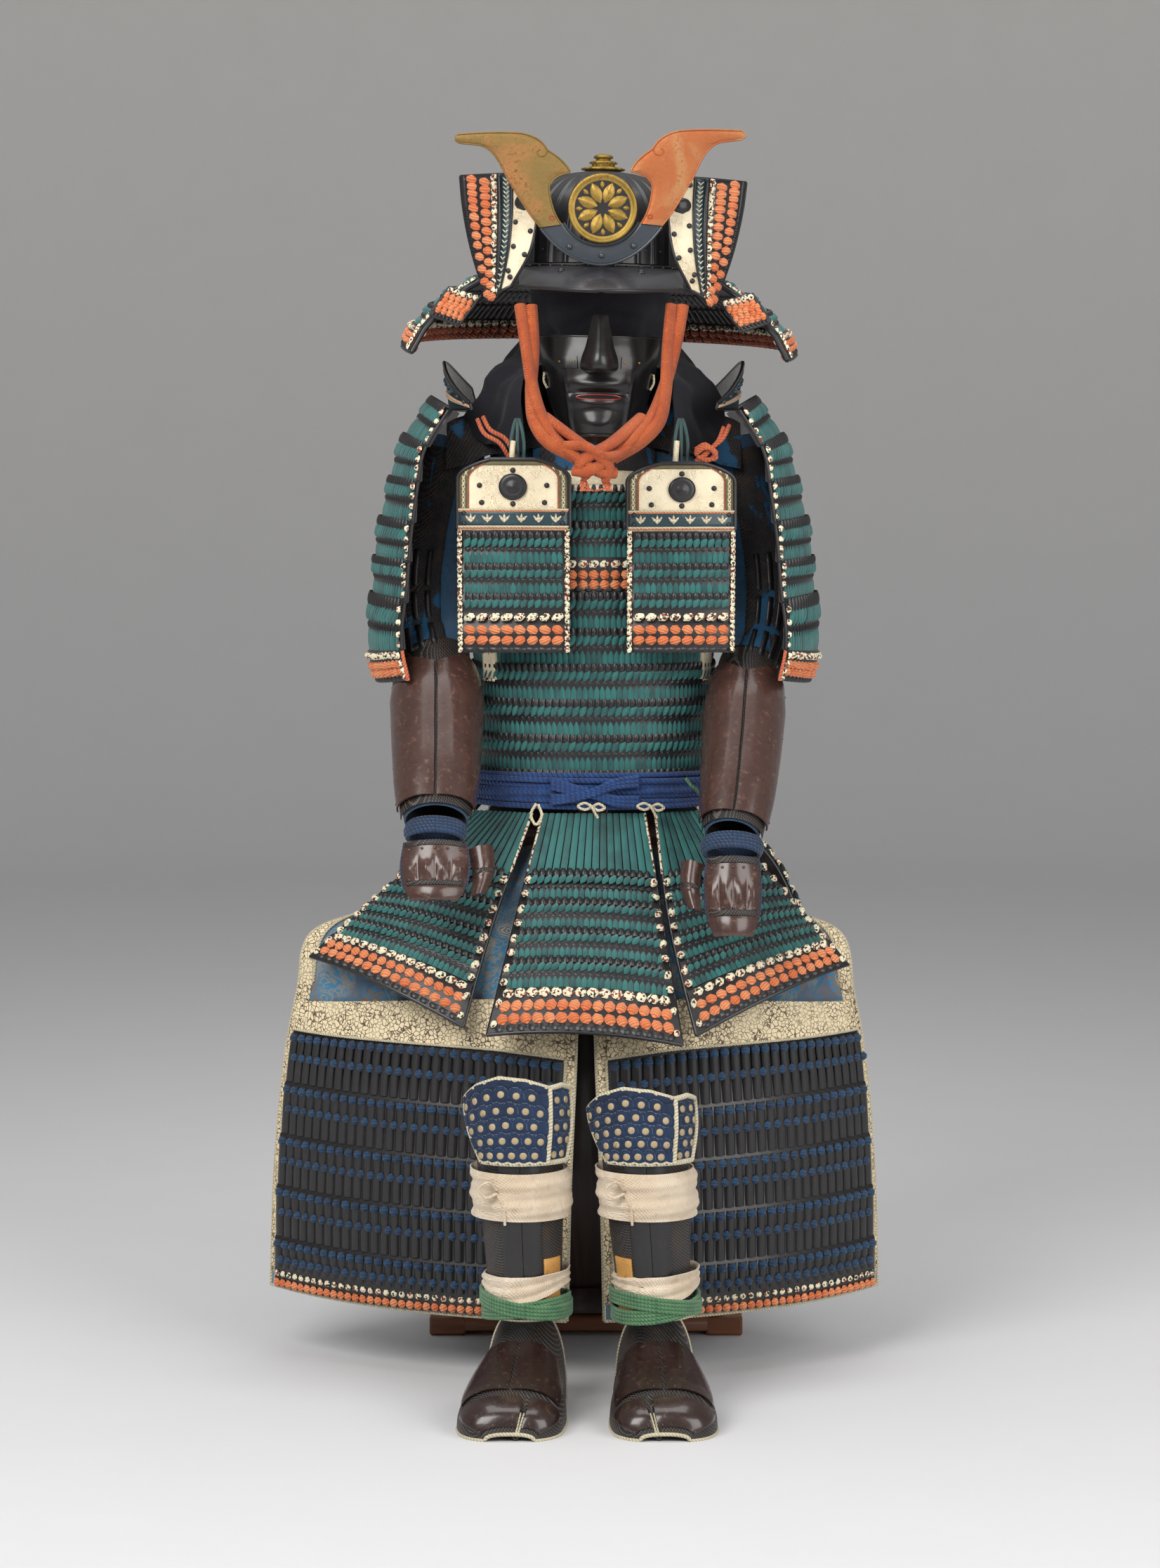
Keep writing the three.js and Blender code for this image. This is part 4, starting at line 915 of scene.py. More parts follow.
def bezier(points, steps=12):
    """Outline from a start and cubic spans."""
    out, a = [], np.array(points[0], float)
    for b, c, d in points[1:]:
        s = np.linspace(0, 1, steps, endpoint=False)[:, None]
        b, c, d = (np.array(q, float) for q in (b, c, d))
        out.append((1 - s) ** 3 * a + 3 * s * (1 - s) ** 2 * b + 3 * s * s * (1 - s) * c + s**3 * d)
        a = d
    return np.concatenate(out)


def even_out(outline, n):
    """The same outline through n points."""
    share, s = np.linspace(0, 1, n), np.linspace(0, 1, len(outline))
    return np.stack([np.interp(share, s, outline[:, i]) for i in (0, 1)], -1)


def flat_plate(piece, top, bottom, y, thick, mat, dish=0.0, rounds=1.0):
    """A thin plate between two outlines in x and z that run the same way; its face is gently crowned."""
    top, bottom = np.asarray(top, float), np.asarray(bottom, float)
    rows = []
    for s, d in ((0, 0), (0.04, 1), (0.2, 1), (0.4, 1), (0.6, 1), (0.8, 1), (0.96, 1), (1, 0)):
        xz = top + (bottom - top) * s
        depth = np.full(len(xz), y + rounds * (1 - d) - dish * 4 * s * (1 - s))
        rows.append(np.stack([xz[:, 0], depth, xz[:, 1]], -1))
    add_wall(piece, np.array(rows), thick, mat)


for side, s, mat in (("left", 1, "horn_gold"), ("right", -1, "horn_copper")):
    piece = Piece("horn_" + side + "_plate", "crest", "horn_" + side)
    outer = bezier([(-72, 1375), ((-88, 1393), (-101, 1418), (-109, 1430)), ((-118, 1449), (-126, 1472), (-148, 1473)),
                    ((-155, 1474), (-160, 1474), (-166, 1475)), ((-169, 1476), (-171, 1478), (-171.5, 1480))])
    inner = bezier([(-47, 1378), ((-56, 1390), (-60, 1405), (-61, 1421)), ((-60, 1430), (-50, 1437), (-35.5, 1439)),
                    ((-41, 1452), (-55, 1461), (-63, 1466)), ((-66, 1475), (-78, 1483), (-92, 1485.5)),
                    ((-110, 1488), (-140, 1487), (-166, 1485.5)), ((-169, 1485), (-171, 1483), (-171.5, 1480))])
    a, b = even_out(outer, 97), even_out(inner, 97)
    k = np.array([s, 1])
    flat_plate(piece, b[::-s] * k, a[::-s] * k, -67, 1.6, mat, 0.8, 0.4)
    for line in (a, b):
        pts = np.stack([line[:, 0] * s, np.full(97, -67.0), line[:, 1]], -1)
        piping(piece, pts, 1.1, mat, 6)
    curl = [(-62 * s, -67.9, 1465), (-66 * s, -67.9, 1459), (-73 * s, -67.9, 1459), (-75 * s, -67.9, 1464),
            (-71 * s, -67.9, 1466)]
    piping(piece, spline(curl, 30), 0.6, mat, 5)
    low_eye = [(-58 * s + 3 * math.cos(q), -67.7, 1386 + 2.4 * math.sin(q)) for q in np.linspace(0, 2 * PI, 20)]
    piping(piece, low_eye, 0.9, "orange_cloth", 5)
    piece.make()

piece = Piece("crest_crescent", "crest", "crest_base")
low = bezier([(-72, 1374), ((-52, 1346), (-24, 1330), (0, 1330)), ((24, 1330), (52, 1346), (72, 1374))], 20)
high = bezier([(-44, 1380), ((-34, 1362), (-18, 1353), (0, 1353)), ((18, 1353), (34, 1362), (44, 1380))], 20)
low, high = np.concatenate([low, [(72, 1374)]]), np.concatenate([high, [(44, 1380)]])
flat_plate(piece, high, low, -64, 3, "crest_iron", 1.0)
for line, radius in ((low, 1.5), (high, 1.3)):
    piping(piece, np.stack([line[:, 0], np.full(len(line), -64.5), line[:, 1]], -1), radius, "crest_iron", 6)
flat = Face(lambda u, t, out: np.stack([-80 + 160 * u, -65 - out, 1390 - 70 * t], -1))
stamp(piece, flat, "stud", (np.array([-38, 0, 38]) + 80) / 160, (1390 - np.array([1352, 1341, 1352])) / 70, 0.6,
      (3.6, 3.6, 2.8), "crest_iron")
piece.make()
piece = Piece("crest_rosette", "crest", "crest_disc")
f = round_angles(64)
rings = [np.stack([2 + r * np.sin(f), np.full(64, y), 1396 + r * np.cos(f)], -1) for r, y in
         ((41, -70), (41, -75), (40, -76.4), (38, -76.4), (36.5, -75), (35, -74.2), (8, -74.6), (0.5, -74.6))]
loft(piece, np.array(rings)[:, ::-1], "gold")
ring = Face(lambda u, t, out: np.stack([2 - 41 * t * np.sin(u * 2 * PI), -74.4 - out,
                                        1396 + 41 * t * np.cos(u * 2 * PI)], -1))
tt, uu = np.meshgrid(np.array([0, 0.3, 0.6, 0.8]), np.linspace(0, 1, 65), indexing="ij")
pts = ring(uu, tt, 0.3 + 0 * tt)
piece.add(pts, grid_faces(4, 65), "black", sheet_uv(pts))
stamp(piece, ring, "leaf", (np.arange(8) + 0.5) / 8, np.full(8, 0.47), 0.3, (6.6, 12.5, 2.6), "gold", 0, 0)
stamp(piece, ring, "leaf", np.arange(8) / 8, np.full(8, 0.68), 0.3, (2.6, 4.2, 1.6), "gold", 0, 0)
stamp(piece, flat, "stud", [(2 + 80) / 160], [(1390 - 1396) / 70], 9.4, (6.5, 6.5, 3), "gold", 0, 0)
piece.make()

# ---- mask and hood ----------------------------------------------------------------------
swell = lambda f, z, f0, z0, wide, tall, by: by * np.exp(-(((f - f0) / wide) ** 2) - ((z - z0) / tall) ** 2)


def face_swell(f, z):
    a = np.abs(f)
    return (swell(a, z, 42, 1214, 20, 20, 5) + swell(f, z, 0, 1142, 24, 12, 6) + swell(f, z, 0, 1190, 26, 6, 4.5)
            + swell(f, z, 0, 1168, 24, 6, 4.5) - swell(f, z, 0, 1179, 26, 3.4, 6)
            + 2.4 * np.exp(-((a - 33 - (1196 - z) * 0.12) / 3.0) ** 2) * np.clip((1215 - z) / 30, 0, 1)
            + 2.2 * np.exp(-((z - 1131) / 3) ** 2))


mask = ring_face([(1246, 73, 76), (1232, 73, 80), (1216, 71, 82), (1198, 67, 83), (1186, 64, 83), (1176, 61, 83),
                  (1162, 56, 83), (1148, 51, 82), (1136, 45, 80), (1129, 38, 76)], 30, -96, 96, 0.92, face_swell)
piece = Piece("mask", "helmet", "face_mask")
add_face_wall(piece, mask, even(72), 88, 2.4, "gloss", "red")
edging(piece, mask, [0, 1], [0, 0], -0.8, 1.8, "gloss", 90)
edging(piece, mask, [0, 1], [1, 1], -0.8, 2.0, "gloss", 90)
side_edging(piece, mask, [0, 1], -0.8, 1.8, "gloss", 40)
# The mouth slot is a near-black panel standing proud of the mask: painted shadow for the opening.
panel(piece, mask, (0.375, 0.625), (0.545, 0.6), 0.3, "shadow", 30, 3)
mouth = np.linspace(0, 2 * PI, 60)
piping(piece, mask(0.5 + 0.125 * np.cos(mouth), 0.573 + 0.027 * np.sin(mouth), 0.2), 0.9, "red", 6)
for s in (-1, 1):
    hinge = lambda u, t, k=s: (0.5 + k * (u + 0.02 * (u > 0.17) * (1 - 2 * np.abs(t - 0.225) / 0.09)), t)
    tt, uu = lattice(9, 9, t=(0.18, 0.27), u=(0.1, 0.2))
    pts = mask(*hinge(uu, tt), 2.0)
    add_wall(piece, pts if s > 0 else pts[:, ::-1], 2.0, "gloss")
    stamp(piece, mask, "stud", [0.5 + s * 0.115, 0.5 + s * 0.19], [0.225, 0.225], 2.0, (1.6, 1.6, 1.2), "gold")
    add_cord(piece, [mask(0.5 + s * 0.36, 0.3, 1.0), mask(0.5 + s * 0.37, 0.38, 3.5), mask(0.5 + s * 0.37, 0.46, 1.4)],
             1.5, "cream", 12)
piece.make()
nose_rows = [(1271, 9, -57, -61), (1252, 13, -59, -70), (1234, 17, -61, -79), (1218, 22, -63, -85),
             (1207, 22, -63, -83), (1203, 14, -64, -74)]
line = spline([(r[1], r[2], r[0]) for r in nose_rows], 81)
ridge_line = spline([(0, r[3], r[0]) for r in nose_rows], 81)
s81 = np.linspace(0, 1, 81)


def nose_point(u, t, out):
    s = u * 2 - 1
    half, edge, z, top = (np.interp(t, s81, c) for c in (line[:, 0], line[:, 1], line[:, 2], ridge_line[:, 1]))
    round_tip = np.abs(s) ** (1.5 + 0.9 * t)
    nostril = 1.6 * np.exp(-(((np.abs(s) - 0.62) / 0.16) ** 2) - ((t - 0.78) / 0.12) ** 2)
    return np.stack([half * s, top + (edge - top) * round_tip - out + nostril * 0.5, z], -1)


nose = Face(nose_point)
piece = Piece("nose", "helmet", "mask_nose")
add_face_wall(piece, nose, even(36), 30, 2, "gloss", "red")
piece.make()

# Height, half width, half depth, middle y, half opening in degrees, fold, half width in front and fall of the hem.
HOOD = [(1322, 88, 98, 78, 0, 0, 88, 0), (1286, 84, 90, 74, 0, 1, 84, 0), (1267, 84, 82, 74, 0, 1, 74, 0),
        (1248, 98, 84, 80, 0, 2, 64, 0), (1224, 120, 90, 86, 0, 3, 62, 0), (1210, 128, 93, 90, 42, 3, 112, 0),
        (1192, 138, 98, 96, 40, 5, 138, 0), (1170, 146, 106, 104, 38, 5, 146, 0.2),
        (1150, 156, 114, 112, 35, 5, 156, 0.5), (1138, 166, 120, 118, 32, 5, 166, 1)]
HOOD_T = np.linspace(0, 1, len(HOOD))


def hood_point(u, t, out):
    z, rx, ry, y, opening, fold, narrow, drop = (np.interp(t, HOOD_T, [r[i] for r in HOOD]) for i in range(8))
    deg = opening + (360 - 2 * opening) * u
    f = np.radians(deg)
    side = np.clip((np.abs(180 - deg) - 80) / -40 + 1, 0, 1)
    rx = narrow + (rx - narrow) * side
    bend = fold * np.cos(np.radians(deg * 9)) + 1.4 * np.sin(np.radians(deg * 23) + t * 9) * t
    front = np.maximum(0, np.cos(f))
    swag = 3.2 * np.sin(t * 34 - 5.0 * np.abs(np.sin(f)) + 1.2 * np.sin(f * 2))
    swag = swag * front * np.clip((0.42 - t) * 6, 0, 1) * np.clip(t * 9, 0, 1)
    soft = 2.8 * np.sin(t * 21 + np.sin(f * 3) * 2.2) * np.clip(t * 3 - 1.2, 0, 1)
    o = out + bend + soft - 3.0 * front * (t < 0.45) + swag
    c = np.cos(f)
    fall = drop * np.where(c > 0, 44 * np.maximum(c, 0) ** 1.5, 55 * c ** 6)
    return np.stack([(rx + o) * np.sin(f), y - (ry + o) * np.cos(f), z + bend * 0.8 - fall], -1)


hood = Face(hood_point)
piece = Piece("hood", "helmet", "hood_cloth")
add_face_wall(piece, hood, even(50), 126, 2, "navy")
hood_obj = piece.make()

for s, side in ((-1, "left"), (1, "right")):
    path = [[18 + 90 * s, -58, 1282], [17 + 84 * s, -70, 1232], [14 + 78 * s, -84, 1180], [12 + 68 * s, -98, 1145],
            [9 + 50 * s, -106, 1122], [10 + 20 * s, -108, 1102]]
    for k in (-1, 1):
        moved = [[x + k * 6.5 * math.cos(i * 0.9), y + k * 3.5 * math.sin(i * 0.9) - 1, z]
                 for i, (x, y, z) in enumerate(path)]
        place, solids = ("_rear", []) if k < 0 else ("_fore", ["chin_cord_" + side])
        piece = Piece("chin_cord_" + side + place, "free", *solids)
        add_cord(piece, moved, 10.6, "orange_cloth", 60, 14, 0.7)
        run = piece.placed(spline(moved, 60))
        piece.make()
piece = Piece("chin_bow", "free", "chin_knot")
for pts, r in (([[-54, -90, 1146], [-26, -112, 1114], [-4, -120, 1098], [16, -123, 1085], [34, -118, 1084]], 11),
               ([[72, -90, 1146], [42, -112, 1112], [22, -122, 1098], [2, -126, 1087], [-14, -120, 1088]], 11),
               ([[-48, -92, 1150], [-8, -120, 1120], [14, -129, 1104], [27, -124, 1090], [20, -118, 1078]], 10),
               ([[66, -92, 1150], [28, -122, 1118], [8, -126, 1107], [-8, -124, 1095], [0, -118, 1079]], 10),
               ([[-24, -118, 1116], [0, -131, 1115], [20, -132, 1104], [38, -122, 1106]], 9)):
    add_cord(piece, pts, r, "orange_cloth", 40, 14, 0.62)
for k in range(14):
    x, z = 22 - 24 * (k % 2) + rng.normal(0, 3), 1076
    add_cord(piece, [[x, -118, z], [x + rng.normal(1, 3), -120, z - 7], [x + rng.normal(2, 6), -120, z - 13]], 1.2,
             "orange_cord", 8, 5)
piece.make()

piece = Piece("waist_thongs", "torso")
for x, z, y in ((-2, 682, -30), (70, 680, -8)):
    for steps, run in ((24, [[0, 0, 0], [-9, -5, 5], [-17, -3, 1], [-9, -4, -3], [0, -1, 0]]),
                       (24, [[0, 0, 0], [8, -5, 4], [15, -3, -1], [8, -4, -4], [0, -1, 0]]),
                       (16, [[-3, -3, 3], [0, -7, 0], [4, -5, -8], [7, -4, -13]])):
        add_cord(piece, np.array([x, y, z]) + run, 1.7, "cream", steps, 7)
add_cord(piece, [[-70, -10, 684], [-76, -18, 672], [-70, -24, 660], [-63, -20, 670], [-67, -10, 683]], 1.8, "cream", 30,
         7)
add_cord(piece, [[112, 4, 714], [118, 0, 706], [125, 4, 700], [132, 12, 690]], 2.2, "green", 18, 7)
piece.make()

# ---- cuirass ----------------------------------------------------------------------------
# Height, half width, half depth and degrees each way from the middle of the front or back.
BODY = np.array([(1069, 146, 110, 46), (1040, 148, 114, 48), (1000, 149, 118, 58), (955, 149, 120, 76),
                 (925, 149, 121, 89.6), (850, 147, 119, 89.6), (770, 143, 115, 89.6), (680, 140, 112, 89.6)],
                float)[::-1]


def body_face(middle):
    def p(u, t, out):
        z = 1069 - 389 * t
        rx, ry, reach = (np.interp(z, BODY[:, 0], BODY[:, i]) for i in (1, 2, 3))
        f = np.radians(middle + reach * (2 * u - 1))
        return np.stack([(rx + out) * power(np.sin(f), 0.9), TORSO_Y - (ry + out) * power(np.cos(f), 0.9), z + 0 * u],
                        -1)
    return Face(p)


for side, middle in (("front", 0), ("back", 180)):
    face = body_face(middle)
    piece = Piece("cuirass_" + side + "_lames", "torso", "cuirass_" + side)
    cuts = np.linspace(0, 1, 10)
    add_face_wall(piece, face, lame_rows(cuts, 2.5), 60, 4, "black", "shadow")
    for i, (a, b) in enumerate(zip(cuts[:-1], cuts[1:])):
        if i == 2:
            knot_rows(piece, face, a, b, 0.005, 0.995, 2.5, 13, (0.2, 0.5, 0.78))
        else:
            lame(piece, face, a, b, 0.005, 0.995, 2.5, 8.6)
    side_braid(piece, face, 0, 0.36, 0.012)
    if middle == 0:
        for a, b in ((0.15, 0.215), (0.84, 0.905)):
            panel(piece, face, (a, b), (0.525, 0.61), 4.5, "leather", 6, 6)
            for t in (0.525, 0.61):
                uu, gap = face.spread(t, 6, a, b)
                stamp(piece, face, "leaf", uu, t, 4.5, (2.6, 3, 2), "ivory", 1.2)
        panel(piece, face, (0.1, 0.9), (0.0, 0.018), 3.5, "leather", 20, 2)
        collar = Face(lambda u, t, out: np.stack(
            [-74 + 148 * u, TORSO_Y - (84 + 24 * t + out) * np.sqrt(1 - ((74 - 148 * u) / 150) ** 2),
             1122 - 56 * t - 10 * (2 * u - 1) ** 2 * (1 - t)], -1))
        add_face_wall(piece, collar, even(10), 24, 2, "mailed", "navy")
        panel(piece, collar, (0.14, 0.86), (0.62, 0.98), 1.2, "leather", 20, 4)
    piece.make()

strap_path = [[214, 1080], [198, 1107], [160, 1120], [110, 1120], [70, 1106], [44, 1077]]
for side in ("left", "right"):
    flip = side == "right"
    face = hanging([[-124, y, z - 8] for y, z in strap_path], [[-70, y, z] for y, z in strap_path], 4, flip)
    piece = Piece("shoulder_strap_" + side + "_padded", "torso", "shoulder_strap_" + side)
    puff = lambda u, t: (1.8 * np.abs(np.sin(u * 3 * PI)) * np.sin(np.clip(t, 0, 1) * PI) ** 0.3
                         + 0.4 * np.sin(t * 40 + u * 5))
    tt, uu = lattice(41, 25)
    add_wall(piece, face(uu, tt, puff(uu, tt)), 6, "blue")
    side_edging(piece, face, [0, 1], -2.0, 3.4, "blue", 60)
    obj = piece.make()

    far, near, crest_z = (-170, -40, 1095) if flip else (-164, -29, 1100)
    sides = [[[far, -10, crest_z], [far, -16, 980], [far + 1, -20, 868]],
             [[near, -24, crest_z], [near, -26, 980], [near, -28, 868]]]
    face = hanging(*sides, 7, flip)
    piece = Piece("chest_panel_" + side + "_dressed", "torso", "chest_panel_" + side)
    arch = lambda t: 0.3 * max(0.0, 1 - t / 0.1) ** 2.2
    top = Face(lambda u, t, out, f=face: f(0.3 * np.maximum(0, 1 - t / 0.1) ** 2.2 * (1 - 2 * u) + u, t, out))
    cuts = np.linspace(0.36, 1, 5)
    add_face_wall(piece, face, even(24, 0, 0.352), 32, 5, "leather", "shadow", inset=arch)
    add_face_wall(piece, face, [(0.354, 0)] + lame_rows(cuts, 3), 32, 5, "black", "shadow")
    side_edging(piece, top, [0, 0.345], 0.8, 2.4, "black", 70)
    edging(piece, top, [0, 1], [0, 0], 0.8, 2.4, "black", 40)
    for a in (0, 1):
        strip = (0.018, 0.09) if a == 0 else (0.91, 0.982)
        panel(piece, top, strip, (0.012, 0.25), 0.7, "olive", 2, 30)
        edging(piece, top, [abs(a - 0.1)] * 2, [0.02, 0.245], 1.0, 0.8, "rust", 50)
        t = np.linspace(0.04, 0.23, 8)
        for d in (-0.5, 0.5):
            stamp(piece, top, "leaf", np.full(8, abs(a - 0.054)), t, 0.8, (0.9, 4.2, 0.7), "cream", d)
    panel(piece, top, (0.09, 0.91), (0.006, 0.03), 0.7, "olive", 12, 3)
    panel(piece, top, (0.0, 1.0), (0.25, 0.335), 1.4, "indigo", 16, 4)
    for t in (0.25, 0.335):
        edging(piece, face, [0.01, 0.99], [t, t], 2.0, 1.3, "cream", 50)
        edging(piece, face, [0.01, 0.99], [t + 0.008, t + 0.008], 1.2, 1.0, "orange", 50)
    uu = np.linspace(0.12, 0.88, 6)
    for d in (-0.7, 0.0, 0.7):
        stamp(piece, face, "leaf", uu + 0.03 * d, 0.292 + 0.006 * abs(d), 1.8, (1.5, 5.5, 1), "cream", d)
    stamp(piece, face, "stud", [0.06, 0.94, 0.06, 0.94], [0.268, 0.268, 0.318, 0.318], 1.6, (3, 3, 2.4), "black")
    stamp(piece, top, "stud", [0.5, 0.2, 0.8, 0.22, 0.78, 0.5], [0.055, 0.13, 0.13, 0.215, 0.215, 0.222], 0.3,
          (3.4, 3.4, 2.8), "black")
    hub = Face(lambda u, t, out, f=face: f(0.5 + 0.125 * t * np.sin(2 * PI * u), 0.137 + 0.066 * t * np.cos(2 * PI * u),
                                           out))
    tt2, uu2 = np.meshgrid(np.array([0, 0.2, 0.4, 0.55, 0.7, 0.85, 1.0, 1.0]), np.linspace(0, 1, 37), indexing="ij")
    lift = np.interp(tt2, [0, 0.2, 0.55, 0.7, 1.0], [5.5, 5.0, 3.4, 4.2, 3.0])
    lift[-1] = 0
    pts = hub(uu2[:, ::-1], tt2, lift)
    piece.add(pts, grid_faces(8, 37), "black", sheet_uv(pts))
    for i, rows in enumerate((tuple(LACING), tuple(LACING), ("heads", "rope"))):
        lame(piece, face, cuts[i], cuts[i + 1], 0.06, 0.94, 3, 8.6, rows)
    knot_rows(piece, face, cuts[3], 1, 0.05, 0.95, 3, 15.2, (-0.2, 0.22, 0.58), 1.2)
    side_braid(piece, face, 0.35, 1, 0.02)
    piece.make()

for side, s in (("left", -1), ("right", 1)):
    piece = Piece("fastening_cords_" + side, "torso")
    ends = ([[-137, -4, 1150], [-128, -12, 1136], [-110, -10, 1120], [-97, -7, 1100]] if s < 0 else
            [[160, -6, 1140], [152, -14, 1126], [140, -14, 1110], [126, -12, 1098]])
    for d in (-3.4, 3.4):
        run = [[x + d, y - abs(i - 1.5), z + d * 0.6 + 3 * math.sin(i * 2 + d)] for i, (x, y, z) in enumerate(ends)]
        add_cord(piece, run, 2.7, "orange_cord", 30, 8)
    if s > 0:
        for a in range(3):
            add_cord(piece, [[122, -16 - 2 * a, 1106 + 3 * a], [134, -22, 1114 + 2 * a], [147, -16, 1108 - 3 * a],
                             [136, -14, 1098 + a], [124, -16, 1103]], 2.7, "orange_cord", 30, 8)
    x = -92 if s < 0 else 105
    for k in (-1, 0, 1):
        add_cord(piece, [[x + k * 7, -6, 1096], [x + k * 8, -12, 1118], [x + k * 5, -8, 1138], [x + k * 2, 6, 1148]],
                 2.2, "teal", 24, 7)
    piping(piece, spline([[x - 7, -15, 1098], [x - 6, -16, 1110], [x - 5, -14, 1122]], 14), 3.4, "leather", 8)
    piece.make()

piece = Piece("waist_braids", "torso", "waist_cord")


def belt_line(z0, out, phase, wave, n=120):
    f = np.linspace(0, 2 * PI, n)
    z = z0 + wave * np.cos(f + phase)
    return np.stack([(154 + out) * power(np.sin(f), 0.9), TORSO_Y - (126 + out) * power(np.cos(f), 0.9), z], -1)


for k in range(8):
    line = belt_line(715.5 - 4.9 * k, (0.5, 3.6, 1.4)[k % 3] - 2.5 + 0.9 * math.sin(k * 2.4), k * 1.3, 1.9)
    piping(piece, line, 3.5, "cobalt", 8, False)
for k in range(3):
    for run in ([[-52, -3, 713 - 5 * k], [-20, -12, 704 - 4 * k], [2, -15, 698 - 3 * k], [24, -12, 692 - 4 * k],
                 [54, -3, 690 - 5 * k]],
                [[-52, -3, 684 + 4 * k], [-20, -14, 690 + 3 * k], [4, -18, 697 + 3 * k], [24, -14, 704 + 4 * k],
                 [54, -3, 706 + 5 * k]]):
        add_cord(piece, run, 3.0, "cobalt", 40, 8)
band = Face(lambda u, t, out: np.stack([(150 + out) * power(np.sin(u * 2 * PI), 0.9),
                                        TORSO_Y - (122 + out) * power(np.cos(u * 2 * PI), 0.9), 719 - 42 * t], -1))
tt, uu = lattice(5, 72, ring=True)
add_wall(piece, band(uu, tt, 0), 4, "navy", ring=True)
piece.make()

# Left edge, right edge and bow of each hanging section.
TASSETS = {
    "centre": ([[-62, 6, 672], [-126, -165, 424]], [[62, 6, 672], [104, -165, 412]], 20),
    "front_left": ([[-147, 58, 672], [-266, 4, 568], [-344, -20, 500]],
                   [[-76, 12, 672], [-122, -68, 546], [-156, -138, 430]], 20),
    "front_right": ([[76, 12, 672], [92, -68, 542], [122, -138, 420]], [[147, 58, 672], [244, 4, 564], [309, -20, 490]],
                    20),
    "side_left": ([[-142, 172, 672], [-204, 200, 596], [-262, 230, 462]],
                  [[-156, 78, 672], [-224, 88, 604], [-300, 76, 470]], 16),
    "side_right": ([[156, 78, 672], [224, 88, 604], [282, 76, 470]],
                   [[142, 172, 672], [204, 200, 596], [244, 230, 462]], 16),
    "back_right": ([[128, 196, 672], [150, 372, 606], [166, 394, 452]], [[6, 249, 672], [6, 384, 606], [6, 404, 446]],
                   12),
    "back_left": ([[-6, 249, 672], [-6, 384, 606], [-6, 404, 446]],
                  [[-128, 196, 672], [-150, 372, 606], [-166, 394, 452]], 12),
}
for name, (left, right, bow) in TASSETS.items():
    face = hanging(left, right, lambda t, b=bow: b * t)
    piece = Piece("tasset_" + name + "_laced", "torso", "tasset_" + name)
    cuts = np.array([0.27, 0.403, 0.536, 0.669, 0.802, 1])
    add_face_wall(piece, face, lame_rows(cuts, 4), 26, 4, "black", "inside")
    # A near-black wall set behind the lacing strips: painted shadow in the gaps between the cords.
    back = [(0, -2.6), (0.09, -2.6), (0.18, -2.6), (0.275, -2.6)]
    add_face_wall(piece, face, back, 14, 1.2, "shadow")
    strips(piece, face, 0.0, 0.285, 8.8, 1.6, "teal", 0.86, 6, 5, (-2.4, 0.6))
    for a, b in zip(cuts[:-1], cuts[1:-1]):
        lame(piece, face, a, b, 0.035, 0.965, 4)
    knot_rows(piece, face, cuts[4], 1, 0.03, 0.97, 4, 14, (0.14, 0.42, 0.7))
    for s in (0.022, 0.978):
        for a, b in zip(cuts[:-1], cuts[1:]):
            w = 4.8 if a < 0.7 else 4.0
            stamp(piece, face, "knot", [s] * 2, [a + (b - a) * 0.33, a + (b - a) * 0.8], 2.5, (w, [6.4, 5.0], 4.4),
                  "ivory", 0.4)
    for e in (0, 1):
        edging(piece, face, [e, e], [0.0, 0.27], -2.2, 1.8, "ivory", 30)
        edging(piece, face, [e, e], [0.27, 1.0], -2.2, 2.2, "black", 40)
    edging(piece, face, [0, 1], [1, 1], -1.5, 2.4, "black", 50)
    piece.make()

